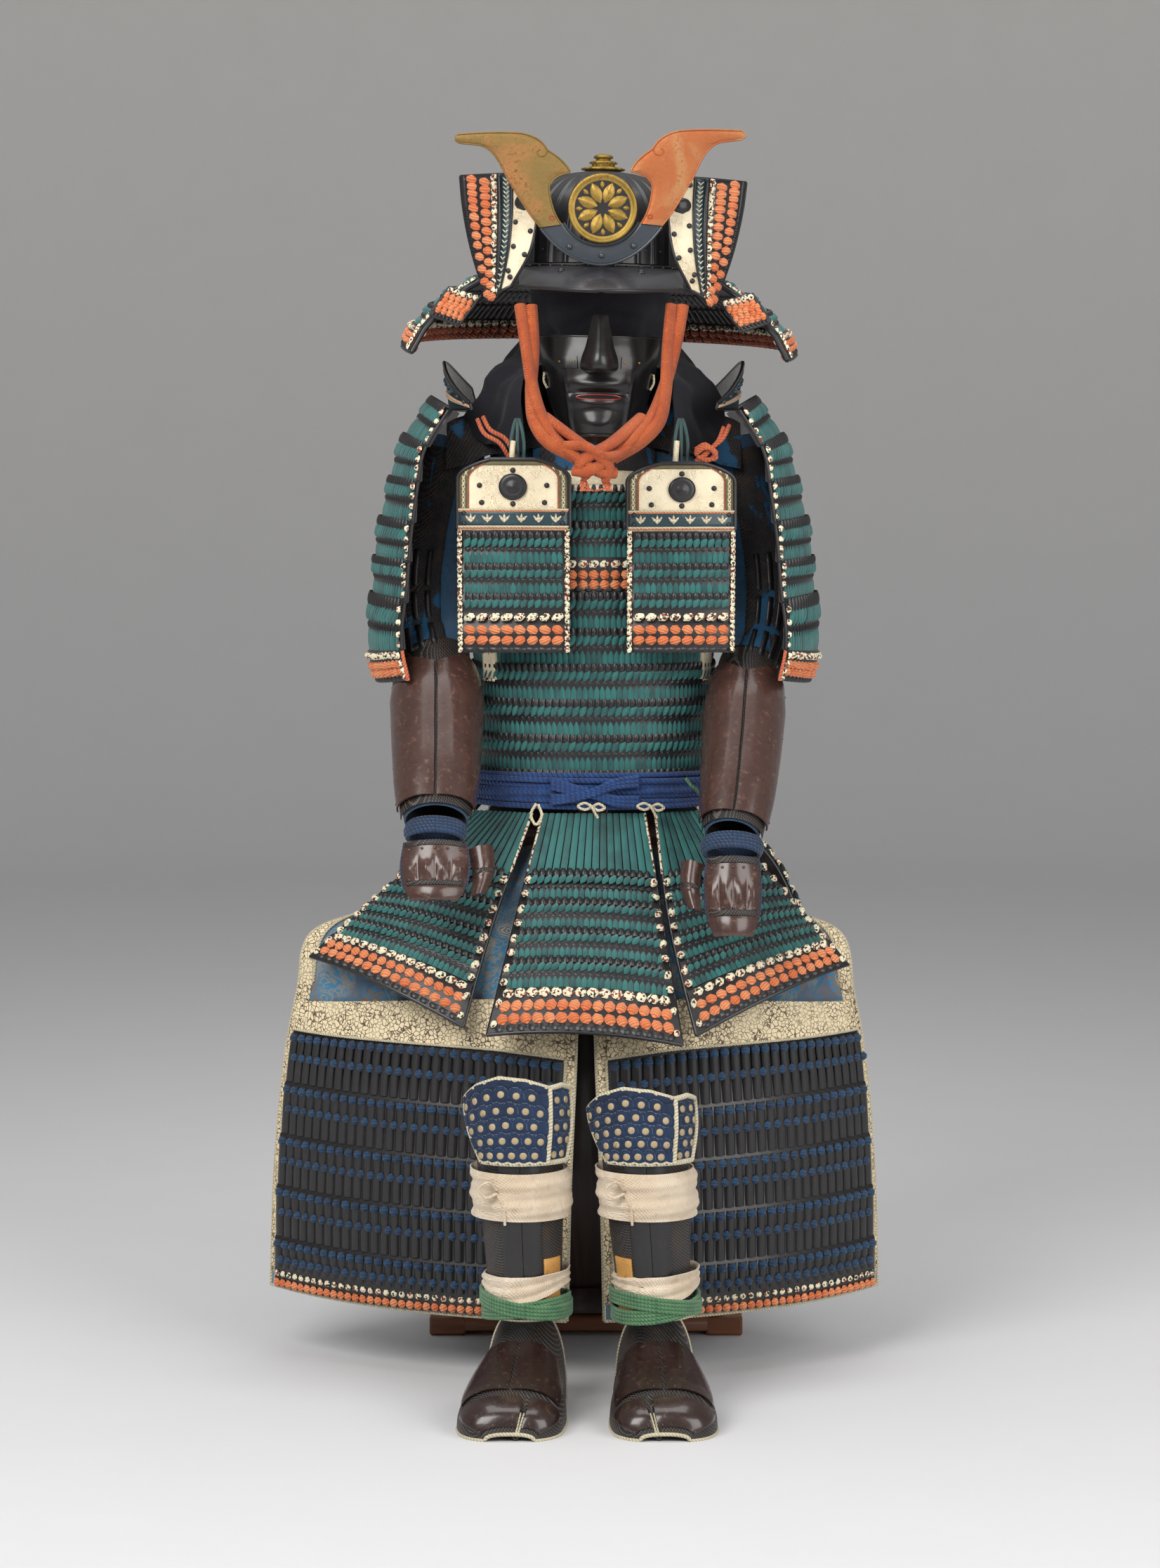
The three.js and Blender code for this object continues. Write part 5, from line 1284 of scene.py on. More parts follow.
# ---- shoulder guards --------------------------------------------------------------------
# Shoulder guard: height and x of its edges; its top plate: height, x and bow.
SODE = [(1160, 172), (1110, 202), (1060, 211), (1000, 219), (950, 223), (880, 230), (835, 222)]
CROWN = np.array([(1161, 148, 30), (1192, 156, 25), (1219, 165, 20)], float)
for side in ("left", "right"):
    flip = side == "right"
    m = 1 if flip else -1
    face = hanging([[-x, 255, z] for z, x in SODE], [[-x, -35, z] for z, x in SODE],
                   lambda t: 28 + 18 * np.minimum(1, t * 2), flip)
    piece = Piece("shoulder_guard_" + side + "_laced", "torso", "shoulder_guard_" + side)
    cuts = np.linspace(0, 1, 8)
    add_face_wall(piece, face, lame_rows(cuts, 5), 30, 4, "black", "inside")
    for a, b in zip(cuts[:-1], cuts[1:-1]):
        lame(piece, face, a, b, 0.02, 0.98, 5, 9.0)
    knot_rows(piece, face, cuts[6], 1, 0.02, 0.98, 5, 12)
    for s in (0, 1):
        for a, b in zip(cuts[:-1], cuts[1:]):
            k = np.array([0.18, 0.42, 0.66, 0.88])
            stamp(piece, face, "knot", np.full(4, abs(s - 0.012)), a + (b - a) * k, 5 * (1 - k) + 0.6, (4, 4.4, 4),
                  "ivory", 0.3)
            edging(piece, face, [s, s], [a + (b - a) * 0.05, b], 1.2, 2.2, "orange_cord" if a > 0.8 else "black", 6)
    piece.make()
    piece = Piece("shoulder_plate_" + side + "_edged", "torso", "shoulder_plate_" + side)

    def crown_point(u, t, out, m=m):
        front = np.clip(((u if m < 0 else 1 - u) - 0.5) / 0.5, 0, 1)
        rear = np.clip((0.4 - (u if m < 0 else 1 - u)) / 0.4, 0, 1)
        z = (1219 - 52 * front ** 1.2 - 30 * rear ** 2) * (1 - t) + 1161 * t
        x, bow = (np.interp(z, CROWN[:, 0], CROWN[:, i]) for i in (1, 2))
        y = 249 + (-29 - 249) * (u if m < 0 else 1 - u)
        return np.stack([m * (x + out + bow * 4 * u * (1 - u)), y, z], -1)

    crown = Face(crown_point)
    add_face_wall(piece, crown, even(10), 30, 2.4, "indigo", "brown")
    for t, r, mat in ((0.0, 2.4, "black"), (1.0, 2.0, "black"), (0.62, 1.8, "peach"), (0.7, 1.4, "cream"),
                      (0.14, 1.0, "black")):
        edging(piece, crown, [0, 1], [t, t], 0.4 if 0 < t < 1 else -1.2, r, mat, 60)
    side_edging(piece, crown, [0, 1], -1.2, 2.2, "black", 12)
    uu = np.linspace(0.05, 0.95, 12)
    stamp(piece, crown, "stud", uu, 0.36, 0.3, (3.2, 3.2, 2.6), "indigo")
    piece.make()

# ---- sleeves and hands ------------------------------------------------------------------
# x, y and z down the left arm, with the half width and half height of the sleeve.
ARM = [(-168, 124, 1122, 38, 50), (-192, 115, 1030, 44, 52), (-203, 102, 950, 46, 50), (-202, 82, 890, 44, 48),
       (-193, 50, 840, 43, 47), (-190, 12, 800, 49, 47), (-189, -30, 754, 46, 43), (-188, -72, 710, 43, 38),
       (-188, -104, 672, 38, 33)]


def tube_face(path, wide, tall):
    """Face of a tube with oval sections square to its path; u runs once round from the front."""
    pts, k = spline(path, 161), np.linspace(0, 1, 161)
    along = unit(np.gradient(pts, axis=0))
    side = unit(np.array([1.0, 0, 0]) - along * along[:, :1])
    fore = np.cross(along, side)
    rx, ry = (np.interp(k, np.linspace(0, 1, len(path)), w) for w in (wide, tall))

    def p(u, t, out):
        pick = lambda a: np.stack([np.interp(t, k, a[:, i]) for i in range(3)], -1)
        f = 2 * PI * u
        a, b = np.interp(t, k, rx) + out, np.interp(t, k, ry) + out
        return pick(pts) + pick(side) * (a * np.sin(f))[..., None] + pick(fore) * (b * np.cos(f))[..., None]
    return Face(p)


for s, side in ((-1, "left"), (1, "right")):
    path = [[x, y, z] if s < 0 else [-x - 24 * (i / 8) ** 2.5, y, z - 18 * i / 8]
            for i, (x, y, z, _, _) in enumerate(ARM)]
    wide = [r[3] * (1 if s < 0 else 1 - 0.14 * min(1, i / 4)) for i, r in enumerate(ARM)]
    tall = [r[4] for r in ARM]
    face = tube_face(path, wide, tall)
    piece = Piece("sleeve_" + side + "_cloth", "torso", "sleeve_" + side)

    def creases(u, t):
        a = 1.2 * np.sin(u * 6 * PI + t * 11) * np.clip(0.6 - t, 0, 1) * 2
        b = 2.2 * np.sin(t * 44 + np.sin(u * 2 * PI) * 2.4) * np.exp(-((t - 0.42) / 0.12) ** 2)
        b = b * (0.4 + 0.6 * np.cos(u * 2 * PI) ** 2)
        return a + b + 0.5 * np.sin(t * 90 + u * 19)

    tt, uu = lattice(91, 64, ring=True)
    add_wall(piece, face(uu, tt, creases(uu, tt)), 2, "blue", "navy", ring=True)
    outer = (-0.33, 0.06) if s < 0 else (-0.06, 0.33)
    grid = Face(lambda u, t, out, f=face, c=creases: f(u, t, out + c(u, t)))
    panel(piece, grid, outer, (0.02, 0.5), 0.9, "mailed", 30, 60)
    panel(piece, grid, (-0.63, -0.33) if s < 0 else (0.33, 0.63), (0.02, 0.5), 0.9, "mail", 26, 60)
    panel(piece, grid, (-0.24, 0.24), (0.46, 0.52), 1.4, "mail", 40, 8)
    for t in (0.2, 0.3, 0.4):
        for w in np.linspace(*outer, 8)[1:-1]:
            panel(piece, grid, (w - 0.012, w + 0.012), (t, t + 0.082), 2.2, "black", 2, 4)
    yoke = Face(lambda u, t, out, s=s: np.stack(
        [s * (62 + 118 * u), 58 + 70 * t + 12 * u * t - out * 0.6 + 3 * np.sin(u * 9) * t,
         1112 + 58 * np.sin(np.minimum(t * 2.2, 1) * PI / 2) - 26 * u * u + out * 0.8 + 2 * np.sin(u * 14 + t * 3)],
                                                -1))
    flip_yoke = yoke if s > 0 else Face(lambda u, t, out: yoke(1 - u, t, out))
    tt, uu = lattice(17, 31)
    add_wall(piece, flip_yoke(uu, 1 - tt, 0 * tt), 2, "mailed", "navy")
    obj = piece.make()

    piece = Piece("forearm_plates_" + side + "_iron", "torso", "forearm_plates_" + side)
    over = tube_face(path, [w * 1.03 + 5 for w in wide], [w * 1.03 + 5 for w in tall])
    tt, uu = lattice(41, 61, t=(0.5, 0.998), u=(-0.25, 0.25))
    add_wall(piece, over(uu, tt, -2.2), 1.2, "mail")
    for a, b in ((-0.24, -0.006), (0.006, 0.24)):
        tt, uu = lattice(25, 21, t=(0.54, 0.975), u=(a, b))
        q, r = (uu - a) / (b - a), (tt - 0.54) / 0.435
        domed = 1.2 + 3.4 * np.sin(q * PI) ** 0.7 + 0.8 * np.sin(r * PI)
        add_wall(piece, over(uu, tt + 0.02 * np.cos(q * 2 * PI) * (1 - r), domed), 2.0, "russet")
        stamp(piece, over, "stud", [a + 0.02, b - 0.02] * 4, np.repeat([0.57, 0.7, 0.83, 0.955], 2), 2.2,
              (1.7, 1.7, 1.4), "russet")
    piece.make()

    wrist = np.array(path[8], float)
    piece = Piece("wrist_cords_" + side, "torso", "wrist_cord_" + side)
    cuff = lambda k, f, g=0.0: np.stack([wrist[0] + (33 + g + 3 * np.sin(k * PI)) * np.sin(f),
                                         wrist[1] - 4 - 11 * k - (24 + g) * np.cos(f) * 0.86,
                                         wrist[2] - 6 - 14 * k - (24 + g) * np.cos(f) * -0.5], -1)
    for k in np.linspace(0.02, 0.98, 5):
        f = np.linspace(0, 2 * PI, 60)
        piping(piece, cuff(k + 0.06 * np.sin(f), f, -0.5), 2.9, "wrist", 8, False)
    piece.make()

    corner = lambda x, y, z: (wrist + [x, y, z]).tolist()
    w, tip = (1.18, -92) if s < 0 else (0.98, -116)
    edge_of = lambda k: [corner(k * w * x, y, z) for x, y, z in
                         ((31, -26, -24), (34, -38, -24 + 0.45 * (tip + 24)), (27, -50, tip))]
    hand = hanging(edge_of(-1), edge_of(1), 14)
    piece = Piece("hand_plate_" + side + "_iron", "torso", "hand_plate_" + side)

    def knuckles(u, t):
        q = u * 4 - 0.5
        near = np.clip(1 - np.abs(q - np.round(q)) * 2.4, 0, 1)
        band = np.exp(-((t - 0.52) / 0.12) ** 2)
        groove = np.exp(-((q - np.floor(q) - 0.5) / 0.09) ** 2) * np.clip((t - 0.25) * 4, 0, 1) * (t < 0.7)
        tips = 2.2 * (t > 0.77) * np.sin(np.clip((t - 0.77) / 0.23, 0, 1) * PI) ** 0.5
        return 4.0 * near * band - 1.2 * groove + tips

    tt, uu = lattice(49, 57)
    taper = 1 - 0.16 * np.clip((tt - 0.8) / 0.2, 0, 1) ** 2
    add_wall(piece, hand(0.5 + (uu - 0.5) * taper, tt, knuckles(uu, tt)), 2.4, "russet", "blue")
    panel(piece, hand, (0.02, 0.98), (0.0, 0.1), 1.2, "mail", 20, 4)
    panel(piece, hand, (0.04, 0.96), (0.7, 0.77), 1.6, "mail", 20, 3)
    stamp(piece, hand, "stud", np.tile(np.linspace(0.1, 0.9, 5), 2), np.repeat([0.16, 0.68], 5), 0.5, (1.8, 1.8, 1.5),
          "russet")
    side_edging(piece, hand, [0, 0.8], -2.2, 1.6, "wrist", 30)
    piece.make()
    thumb_at = lambda x, y, z: (wrist + [-s * x * (1.14 if s < 0 else 1), y, z]).tolist()
    edges = [[thumb_at(34, -8, -34), thumb_at(38, -22, -62), thumb_at(34, -36, -88)],
             [thumb_at(60, -2, -30), thumb_at(62, -16, -60), thumb_at(55, -32, -86)]]
    thumb = hanging(*(edges if s < 0 else edges[::-1]), 6)
    piece = Piece("thumb_plate_" + side + "_iron", "torso", "thumb_plate_" + side)
    tt, uu = lattice(31, 21)
    joint = 1.6 * np.exp(-((tt - 0.55) / 0.05) ** 2) - 1.4 * np.exp(-((tt - 0.48) / 0.03) ** 2)
    across = uu * (1 - 0.3 * tt ** 3) + 0.15 * tt ** 3
    add_wall(piece, thumb(across, tt, 3.5 * np.sin(uu * PI) + joint), 2.4, "russet", "blue")
    panel(piece, thumb, (0.05, 0.95), (0.44, 0.52), 3.4, "mail", 10, 3)
    piece.make()

# ---- thigh guards -----------------------------------------------------------------------
# Outer and inner edges of the left thigh cloth.
THIGH = ([[-150, 96, 600], [-240, 56, 556], [-338, 34, 520], [-354, 34, 450], [-369, 40, 376], [-384, 48, 230],
          [-390, 55, 82]],
         [[-12, 2, 640], [-12, -40, 580], [-12, -76, 520], [-12, -100, 462], [-13, -116, 400], [-20, -120, 236],
          [-24, -120, 72]])
for side in ("left", "right"):
    flip = side == "right"
    face = hanging(*THIGH, lambda t: 8 + 34 * np.minimum(1, t * 1.6), flip, 0.925)
    o, span = from_outer(flip)
    piece = Piece("thigh_cloth_" + side + "_brocade", "legs", "thigh_cloth_" + side)
    tt, uu = lattice(61, 49)
    sag = 0.8 * np.sin(uu * 9 + tt * 4) * np.sin(tt * 17 + uu * 3)
    add_wall(piece, face(uu, tt, sag), 2, "brocade", "navy")
    panel(piece, face, span(0.32, 0.42), (0.02, 0.47), 1.6, "band", 6, 40)
    panel(piece, face, span(0.0, 0.06), (0.02, 0.98), 1.2, "band", 3, 60)
    panel(piece, face, span(0.96, 1.0), (0.1, 0.98), 1.2, "band", 3, 60)
    for a in (0.315, 0.425, 0.065):
        edging(piece, face, [o(a)] * 2, [0.02, 0.47], 1.2, 1.7, "piping", 60)
    side_edging(piece, face, [0, 1], -1.0, 2.6, "piping", 90)
    edging(piece, face, [0, 1], [1, 1], -1.0, 2.6, "piping", 80)
    obj = piece.make()

    piece = Piece("thigh_lames_" + side + "_ribbed", "legs", "thigh_lames_" + side)
    outer_z, inner_z = (spline(e, 121)[:, 2] for e in THIGH)
    steps = np.linspace(0, 1, 121)

    def fall(u, t, o=o):
        """Share down the cloth for lames that fall in equal heights from the wide band to the foot."""
        w = o(u)
        ends = [np.interp(-(top + (foot - top) * t), -z, steps)
                for z, top, foot in ((outer_z, 404, 84), (inner_z, 388, 76))]
        return ends[0] * (1 - w) + ends[1] * w

    raised = Face(lambda u, t, out, f=face, fall=fall: f(0.025 + 0.95 * u, fall(u, t), out + 5))
    cuts = np.linspace(0, 1, 6)
    add_face_wall(piece, raised, lame_rows(cuts, 3), 50, 3.5, "black", "shadow")
    wide_band = Face(lambda u, t, out, f=face, fall=fall: f(
        0.025 + 0.95 * u, 0.525 * (1 - t) + fall(u, 0) * t, out + 6))
    add_face_wall(piece, wide_band, even(8), 50, 4, "band", "shadow")
    for a, b in zip(cuts[:-1], cuts[1:]):
        last = b > 0.98
        e = b if not last else a + (b - a) * 0.62
        strips(piece, raised, a + 0.012, e, 13.8, 3.2, "black", 0.9, 5, 7, (2.6, 0.2), bow=0.15)
        uu, gap = raised.spread(a + 0.03, 13.8)
        stamp(piece, raised, "knot", uu, a + 0.03, 4.4, (gap * 0.42, 5.8, 4.8), "knots", 0.1)
        uu, gap = raised.spread((a + b) / 2, 13.8, 0, 1, 0.5)
        stamp(piece, raised, "knot", uu, a + (b - a) * (0.52 if not last else 0.45), 4.2, (5.2, 5.4, 4.6), "knots", 0.1)
    a, b = cuts[-2:]
    uu, gap = raised.spread(b, 11)
    stamp(piece, raised, "knot", uu, a + (b - a) * 0.74, 1.6, (gap * 0.36, 4.0, 3), "ivory", 0.4)
    stamp(piece, raised, "knot", uu, a + (b - a) * 0.92, 1.6, (gap * 0.46, 5.4, 4.4), "orange", -0.4)
    side_edging(piece, raised, [0, 1], -1.5, 2.2, "piping", 60)
    edging(piece, raised, [0, 1], [0, 0], 1.6, 1.6, "piping", 80)
    piece.make()

# ---- shin and foot guards ---------------------------------------------------------------
# Shin and knee: height, half width and half depth; top of the knee guard: degrees and heights.
SHIN = [(330, 50, 50), (262, 49, 54), (190, 45, 50), (134, 43, 48), (116, 46, 51)]
KNEE = [(400, 58, 44), (368, 62, 52), (335, 64, 58), (297, 61, 60)]
HEX_ACROSS, HEX_PITCH, KNEE_TALL = 9.5, 16.5, 92  # hexagons in a row; mm between rows; mm down the guard
KNEE_FLAP = 0.715  # where the knee guard's side flap begins, as a share of its width
KNEE_TOP = ((-80, -50, -20, 10, 38, 60, 85), (366, 384, 394, 391, 382, 384, 378))
# y, half width, top and share of the way from the ankle's x to the toes'.
FOOT = [(-222, 46, 112, 0), (-256, 47, 104, 0.1), (-292, 52, 86, 0.4), (-330, 59, 66, 0.7),
        (-372, 61, 50, 1), (-405, 55, 37, 1), (-422, 43, 26, 1), (-430, 28, 9, 1)]
for side, foot_x, knee_x, toe_x, rise in (("left", -70, -80, -87, 0), ("right", 80, 62, 88, -12)):
    leg_x = lambda z, foot_x=foot_x, knee_x=knee_x: foot_x + (knee_x - foot_x) * (z - 110) / 270

    def leg_face(rows, reach, leg_x=leg_x):
        line = spline([(r[1], r[2], r[0]) for r in rows], 81)

        def p(u, t, out):
            rx, ry, z = (np.interp(t, s81, line[:, i]) for i in range(3))
            f = np.radians(reach * (2 * u - 1))
            return np.stack([leg_x(z) + (rx + out) * np.sin(f), LEG_Y - (ry + out) * np.cos(f), z], -1)
        return Face(p)

    face = leg_face(SHIN, 112)
    piece = Piece("shin_guard_" + side + "_splinted", "legs", "shin_guard_" + side)
    add_face_wall(piece, face, even(24), 44, 2.4, "mail", "navy")
    inner = 1 if side == "left" else 0
    for a, b in ((0.37, 0.5), (0.5, 0.63)):
        tt, uu = lattice(31, 17, t=(0.01, 0.99), u=(a + 0.002, b - 0.002))
        q = (uu - a) / (b - a)
        add_wall(piece, face(uu, tt, 1.6 + 2.0 * np.sin(q * PI) ** 0.8), 1.8, "black")
    tan = (0.64, 0.79) if inner else (0.21, 0.36)
    panel(piece, face, tan, (0.52, 0.9), 2.4, "tan", 12, 12)
    for t in (0.0, 1.0):
        edging(piece, face, [0, 1], [t, t], -0.8, 2.6, "piping", 60)
    side_edging(piece, face, [0, 1], -1.0, 2.4, "piping", 40)
    piece.make()

    knee_line = spline([(r[1], r[2], r[0]) for r in KNEE], 81)[::-1]

    def knee_point(u, t, out):
        f0 = -80 + 165 * u
        z = np.interp(f0, *KNEE_TOP) + rise
        z = z + (298 - z) * t
        rx, ry = (np.interp(z, knee_line[:, 2], knee_line[:, i]) for i in (0, 1))
        f = np.radians((-80 + 34 * t) + (165 - 57 * t) * u)
        return np.stack([leg_x(z) + (rx + out) * np.sin(f), LEG_Y - (ry + out) * np.cos(f), z], -1)

    face = Face(knee_point)
    piece = Piece("knee_guard_" + side + "_quilted", "legs", "knee_guard_" + side)

    def hexagons(u, t):
        x, y = u * HEX_ACROSS, t * KNEE_TALL / HEX_PITCH
        row = np.round(y)
        dx = x - np.round(x - 0.5 * (row % 2)) - 0.5 * (row % 2)
        edge = np.maximum(np.abs(dx) * 2, np.abs(dx) + np.abs(y - row) * 1.5)
        return 2.4 * np.clip(1.12 - edge ** 4, 0, 1) ** 0.7

    tt, uu = lattice(63, 113)
    flap = -3.0 * np.clip((uu - KNEE_FLAP) * 60, 0, 1)
    add_wall(piece, face(uu, tt, hexagons(uu, tt) + flap), 5, "quilt", "navy")
    for row in range(1, 6):
        x = (np.arange(10) + 0.5 * (row % 2)) / HEX_ACROSS
        x = x[(x > 0.05) & (x < 0.95) & (np.abs(x - KNEE_FLAP) > 0.035)]
        stamp(piece, face, "stud", x, row * HEX_PITCH / KNEE_TALL, 1.8 - 3.0 * (x > 0.72), (4.6, 4.6, 1.8), "disc", 0,
              0)
        for c in x:
            q = np.arange(7) * PI / 3 + PI / 6
            down = (row * HEX_PITCH + 9.6 * np.cos(q)) / KNEE_TALL
            ring = face(np.clip(c + 0.056 * np.sin(q), 0.01, 0.99), np.clip(down, 0.01, 0.99), 0.6 - 3.0 * (c > 0.72))
            piping(piece, spline(ring, 19), 0.45, "stitch", 4)
    for line in ([0, 1], [0, 0]), ([0, 1], [1, 1]), ([0, 0], [0, 1]), ([1, 1], [0, 1]), ([KNEE_FLAP] * 2, [0, 1]):
        edging(piece, face, *line, 1.2 if KNEE_FLAP in line[0] else -1.0, 3.2, "piping", 80)
    obj = piece.make()

    piece = Piece("linen_tie_" + side + "_band", "legs", "linen_tie_" + side)
    tie = leg_face([(286, 53.5, 58), (258, 54.5, 59), (231, 53.5, 58)], 180)
    tt, uu = lattice(25, 120, ring=True)
    fold = 3.6 + 1.6 * np.sin(tt * 13 + 2.0 * np.sin(uu * 2 * PI + 1)) + 0.7 * np.sin(tt * 31 + uu * 12.566)
    add_wall(piece, tie(uu, tt, fold), 1.6, "linen", ring=True)
    c = tie(np.array(0.42), np.array(0.4), 3.0)
    add_cord(piece, [c + [0, -1, 4], c + [-9, -7, 14], c + [-20, -6, 6], c + [-12, -5, -4], c + [0, -3, 0]], 3.0,
             "linen", 30, 8, 0.5)
    add_cord(piece, [c, c + [8, -4, -14], c + [10, -3, -36]], 4.0, "linen", 20, 8, 0.4)
    piece.make()

    line = spline([(h, y, top) for y, h, top, _ in FOOT], 121)
    out_toe = np.interp(np.linspace(0, 7, 121), np.arange(8), [r[3] for r in FOOT])
    s121 = np.linspace(0, 1, 121)

    def foot_point(u, t, out, foot_x=foot_x, toe_x=toe_x, line=line, out_toe=out_toe):
        half, y, top = (np.interp(t, s121, line[:, i]) for i in range(3))
        f = np.radians(180 * u - 90)
        x = foot_x + (toe_x - foot_x) * np.interp(t, s121, out_toe)
        return np.stack([x + (half + out) * power(np.sin(f), 0.85), y - out * 0.3 * t,
                         1 + (top - 1 + out) * np.cos(f).clip(0) ** 0.75], -1)

    face = Face(foot_point)
    piece = Piece("foot_guard_" + side + "_plated", "legs", "foot_guard_" + side)
    tt, uu = lattice(49, 49)
    toe = 0.58 if side == "left" else 0.42
    split = -9 * np.exp(-((uu - toe) / 0.022) ** 2) * np.clip((tt - 0.62) * 8, 0, 1)
    add_wall(piece, face(uu, tt, split), 2.4, "mail", "navy")
    for a, b, c, d in ((0.16, 0.495, 0.3, 0.6), (0.505, 0.84, 0.3, 0.6),
                       (0.1, toe - 0.024, 0.66, 0.96), (toe + 0.024, 0.9, 0.66, 0.96)):
        tt, uu = lattice(11, 21, t=(c, d), u=(a, b))
        q, r = (uu - a) / (b - a), (tt - c) / (d - c)
        add_wall(piece, face(uu, tt, 1.8 + 1.8 * np.sin(q * PI) ** 0.5 + 0.8 * np.sin(r * PI)), 1.6, "brown")
        stamp(piece, face, "stud", [a + 0.04, b - 0.04], [d - 0.02] * 2, 2.6, (1.6, 1.6, 1.4), "brown")
    side_edging(piece, face, [0, 1], -0.5, 2.2, "piping", 70)
    edging(piece, face, [0, 1], [0, 0], -0.8, 2.4, "piping", 50)
    tilt = 0.5 if inner else -0.5
    for turn, low in ((1, 118), (-1, 124)):
        for k in range(4):
            q = np.linspace(0, 2 * PI, 60)
            band = np.stack([foot_x + (51 - turn) * np.sin(q), LEG_Y - (55 - turn) * np.cos(q),
                             low + k * 4.3 + 8 * turn * np.sin(q + tilt)], -1)
            piping(piece, band, 2.5, "green", 7, False)
    ankle = Face(lambda u, t, out: np.stack(
        [foot_x + (50 + out) * np.sin(2 * PI * u), LEG_Y - (54 + out) * np.cos(2 * PI * u),
         166 - 24 * t - 7 * np.cos(4 * PI * u + tilt) * t + 3 * np.sin(2 * PI * u) + 0 * out], -1))
    tt, uu = lattice(15, 90, ring=True)
    folds = 1.4 * np.sin(tt * 14 + 2 * np.sin(uu * 2 * PI)) + 0.6 * np.sin(tt * 30 + uu * 25)
    add_wall(piece, ankle(uu, tt, folds), 1.6, "linen", ring=True)
    edging(piece, face, [0.02, 0.98], [1, 1], -0.5, 2.4, "piping", 40)
    for u in (toe - 0.014, toe + 0.014):
        edging(piece, face, [u, u], [0.8, 1], -1.0, 1.3, "piping", 20)
    piece.make()

# ---- wooden stand -----------------------------------------------------------------------
piece = Piece("base_board", "legs", "stand_base")
board(piece, (-197, 197), (135, 430), (5, 24), "rail", 2)
for x in ((-197, -151), (151, 197)):
    board(piece, x, (134.5, 430.5), (0, 24.2), "rail", 2.5)
piece.make()
piece = Piece("chest", "legs", "stand_box")
CHEST_BANDS = ((525, 531), (24.4, 58.4))  # heights of the lid moulding and the plinth
for x, y in (((-168, -156), (150, 360)), ((156, 168), (150, 360)),
             ((-156, 156), (150, 162)), ((-156, 156), (348, 360))):
    board(piece, x, y, (24.4, 585), "chest")
board(piece, (-168, 168), (150, 360), (573, 585), "chest")
for a, b in (((-172, 172), (146, 152)), ((-172, 172), (358, 364))):
    for z in CHEST_BANDS:
        board(piece, a, b, z, "chest", 1.2)
for x in ((-172, -166), (166, 172)):
    for z in CHEST_BANDS:
        board(piece, x, (146, 364), z, "chest", 1.2)
piece.make()
piece = Piece("post", "torso", "stand_post")
board(piece, (-18, 18), (160, 196), (585.4, 1096), "wood", 2)
board(piece, (-116, 116), (106, 190), (1078, 1096), "wood", 3)
piece.make()
piece = Piece("head_form", "torso", "stand_head")
rings = []
f = round_angles(48)
# Half width, half depth, height, and the shift of its middle in x and y.
head_rows = spline([(12, 12, 1398, 0, 0), (38, 38, 1388, 0, 0), (56, 56, 1358, 0, 0), (62, 68, 1310, 0, 0),
                    (60, 66, 1262, 0, 0), (46, 50, 1218, 0, 0), (26, 28, 1190, -3, 20), (24, 24, 1150, -6, 40),
                    (24, 24, 1096.4, -9, 54)], 60)
for rx, ry, z, dx, dy in head_rows:
    rings.append(np.stack([9 + dx + rx * np.sin(f), 76 + dy - ry * np.cos(f), np.full(48, z)], -1))
loft(piece, rings, "wood")
piece.make()

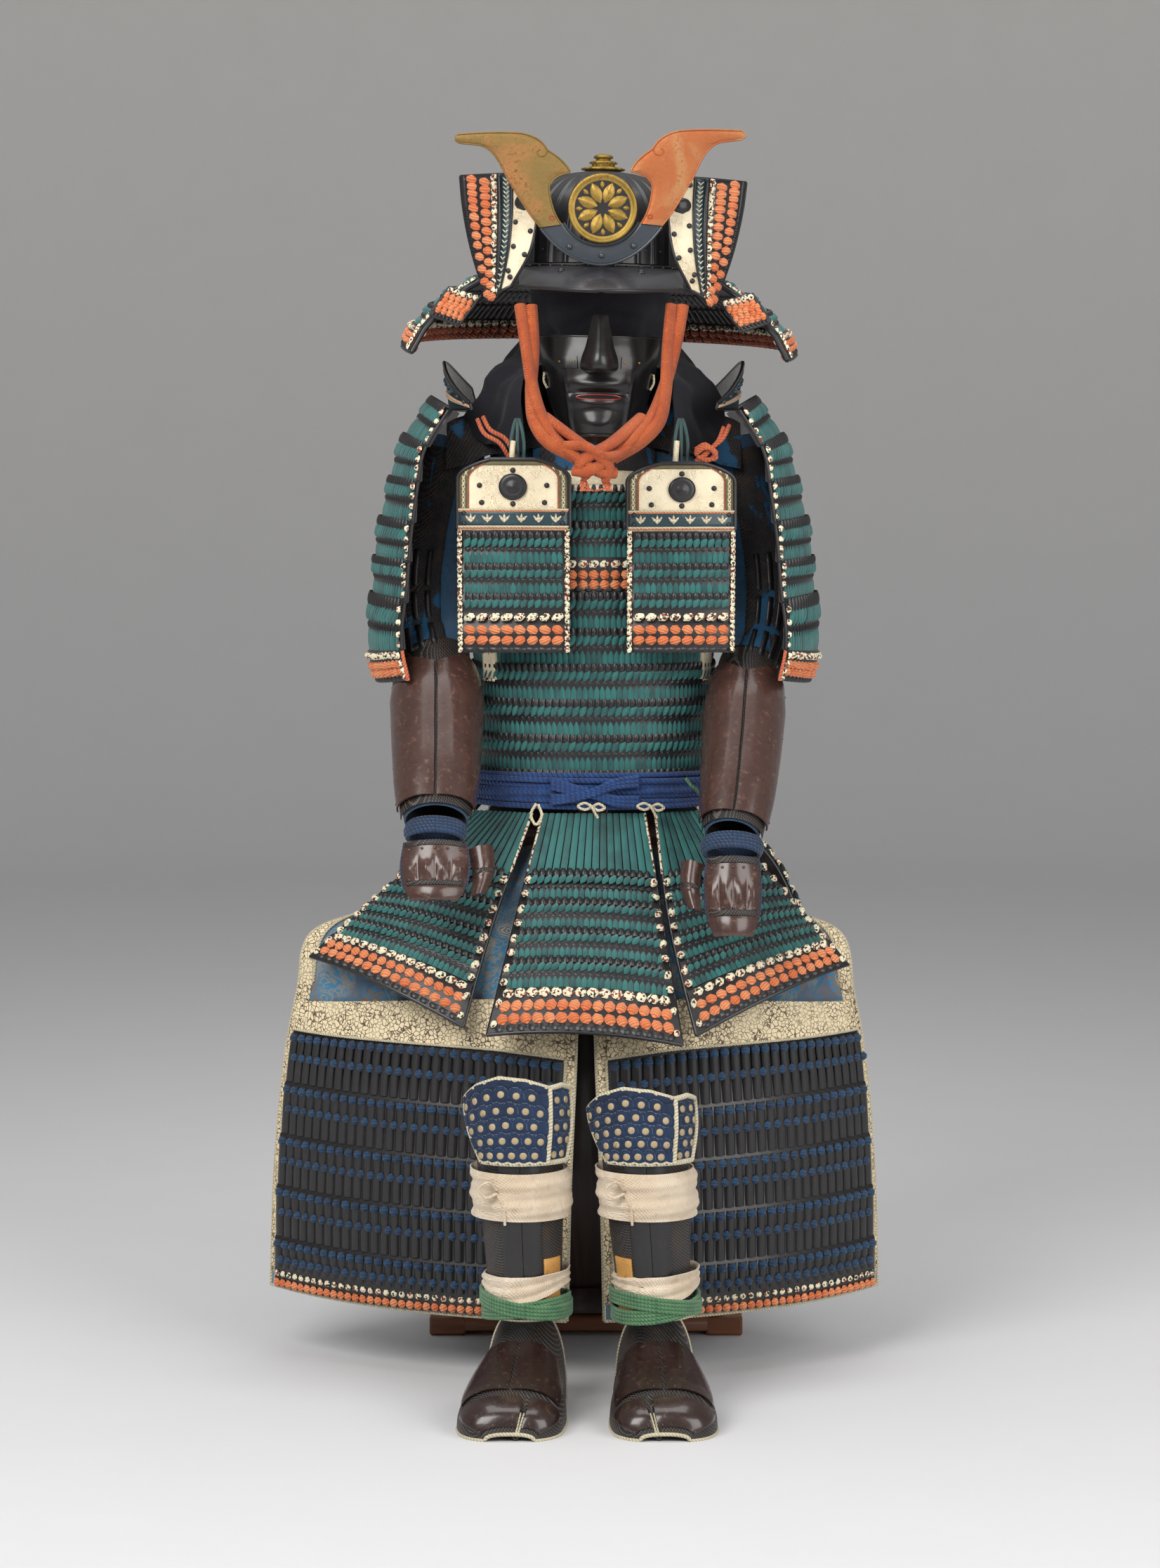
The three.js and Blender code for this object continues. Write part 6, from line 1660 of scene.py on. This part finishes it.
# ---- light and camera -------------------------------------------------------------------
scene = bpy.context.scene
floor = bpy.data.meshes.new("floor")
bend = np.linspace(0, PI / 2, 16)
reach = np.concatenate([[0.0005, 0.5, 1, 2, 3, 4, 5, 5.6], 6 + 2.4 * np.sin(bend), [8.4, 8.4]])
height = np.concatenate([np.zeros(8), 2.4 - 2.4 * np.cos(bend), [4, 6]])
spin = np.linspace(0, 2 * PI, 97)
pts = np.stack([reach[:, None] * np.cos(spin), reach[:, None] * np.sin(spin), height[:, None] + 0 * spin], -1)
floor.from_pydata(pts.reshape(-1, 3).tolist(), [], grid_faces(len(reach), 97)[:, ::-1].tolist())
for p in floor.polygons:
    p.use_smooth = True
floor_obj = bpy.data.objects.new("studio_floor", floor)
scene.collection.objects.link(floor_obj)
s = Shader("studio_paper")
paper = s.noise(s.place(), 6, 4)
# The paper is painted lighter higher up the sweep and darker on the floor: painted light.
backdrop_light_by_height = s.smooth(s.split(s.place(), 2), 0.0, 3.2)
shade = s.mix(backdrop_light_by_height, srgb(218, 218, 221), srgb(236, 236, 234))
floor.materials.append(s.finish(s.mix(paper * 0.05, shade, srgb(120, 120, 120)), 0.85, 0, s.noise(s.place(), 300, 3),
                                0.0002))
floor.update()


def area_light(name, at, aim, size, power_w, color=(1, 1, 1)):
    data = bpy.data.lights.new(name, "AREA")
    data.shape, data.size, data.size_y, data.energy, data.color = "RECTANGLE", size[0], size[1], power_w, color
    obj = bpy.data.objects.new(name, data)
    scene.collection.objects.link(obj)
    d = np.array(aim, float) - np.array(at, float)
    obj.location = at
    obj.rotation_euler = (math.atan2(math.hypot(d[0], d[1]), -d[2]), 0, math.atan2(-d[0], d[1]))
    return obj


area_light("key", (-1.7, -2.8, 2.9), (0, 0, 0.8), (2.2, 2.2), 118, (1, 0.985, 0.955))
area_light("fill", (2.3, -2.5, 1.9), (0, 0, 0.7), (2.4, 2.4), 70, (1, 0.985, 0.96))
area_light("top", (0, 0.2, 3.6), (0, 0, 0.8), (2.4, 2.0), 40)
world = bpy.data.worlds.new("studio")
world.use_nodes = True
world.node_tree.nodes["Background"].inputs[0].default_value = (0.66, 0.65, 0.63, 1)
world.node_tree.nodes["Background"].inputs[1].default_value = 0.42
scene.world = world
camera = bpy.data.cameras.new("camera")
cam = bpy.data.objects.new("camera", camera)
scene.collection.objects.link(cam)
camera.lens, camera.sensor_width = 94.9, 36  # mm
cam.location = (0.0069, -5.0, 1.10)
cam.rotation_euler = (math.radians(90 - 4.49), 0, 0)  # looking 4.49 degrees down
scene.camera = cam
scene.view_settings.view_transform = "Standard"
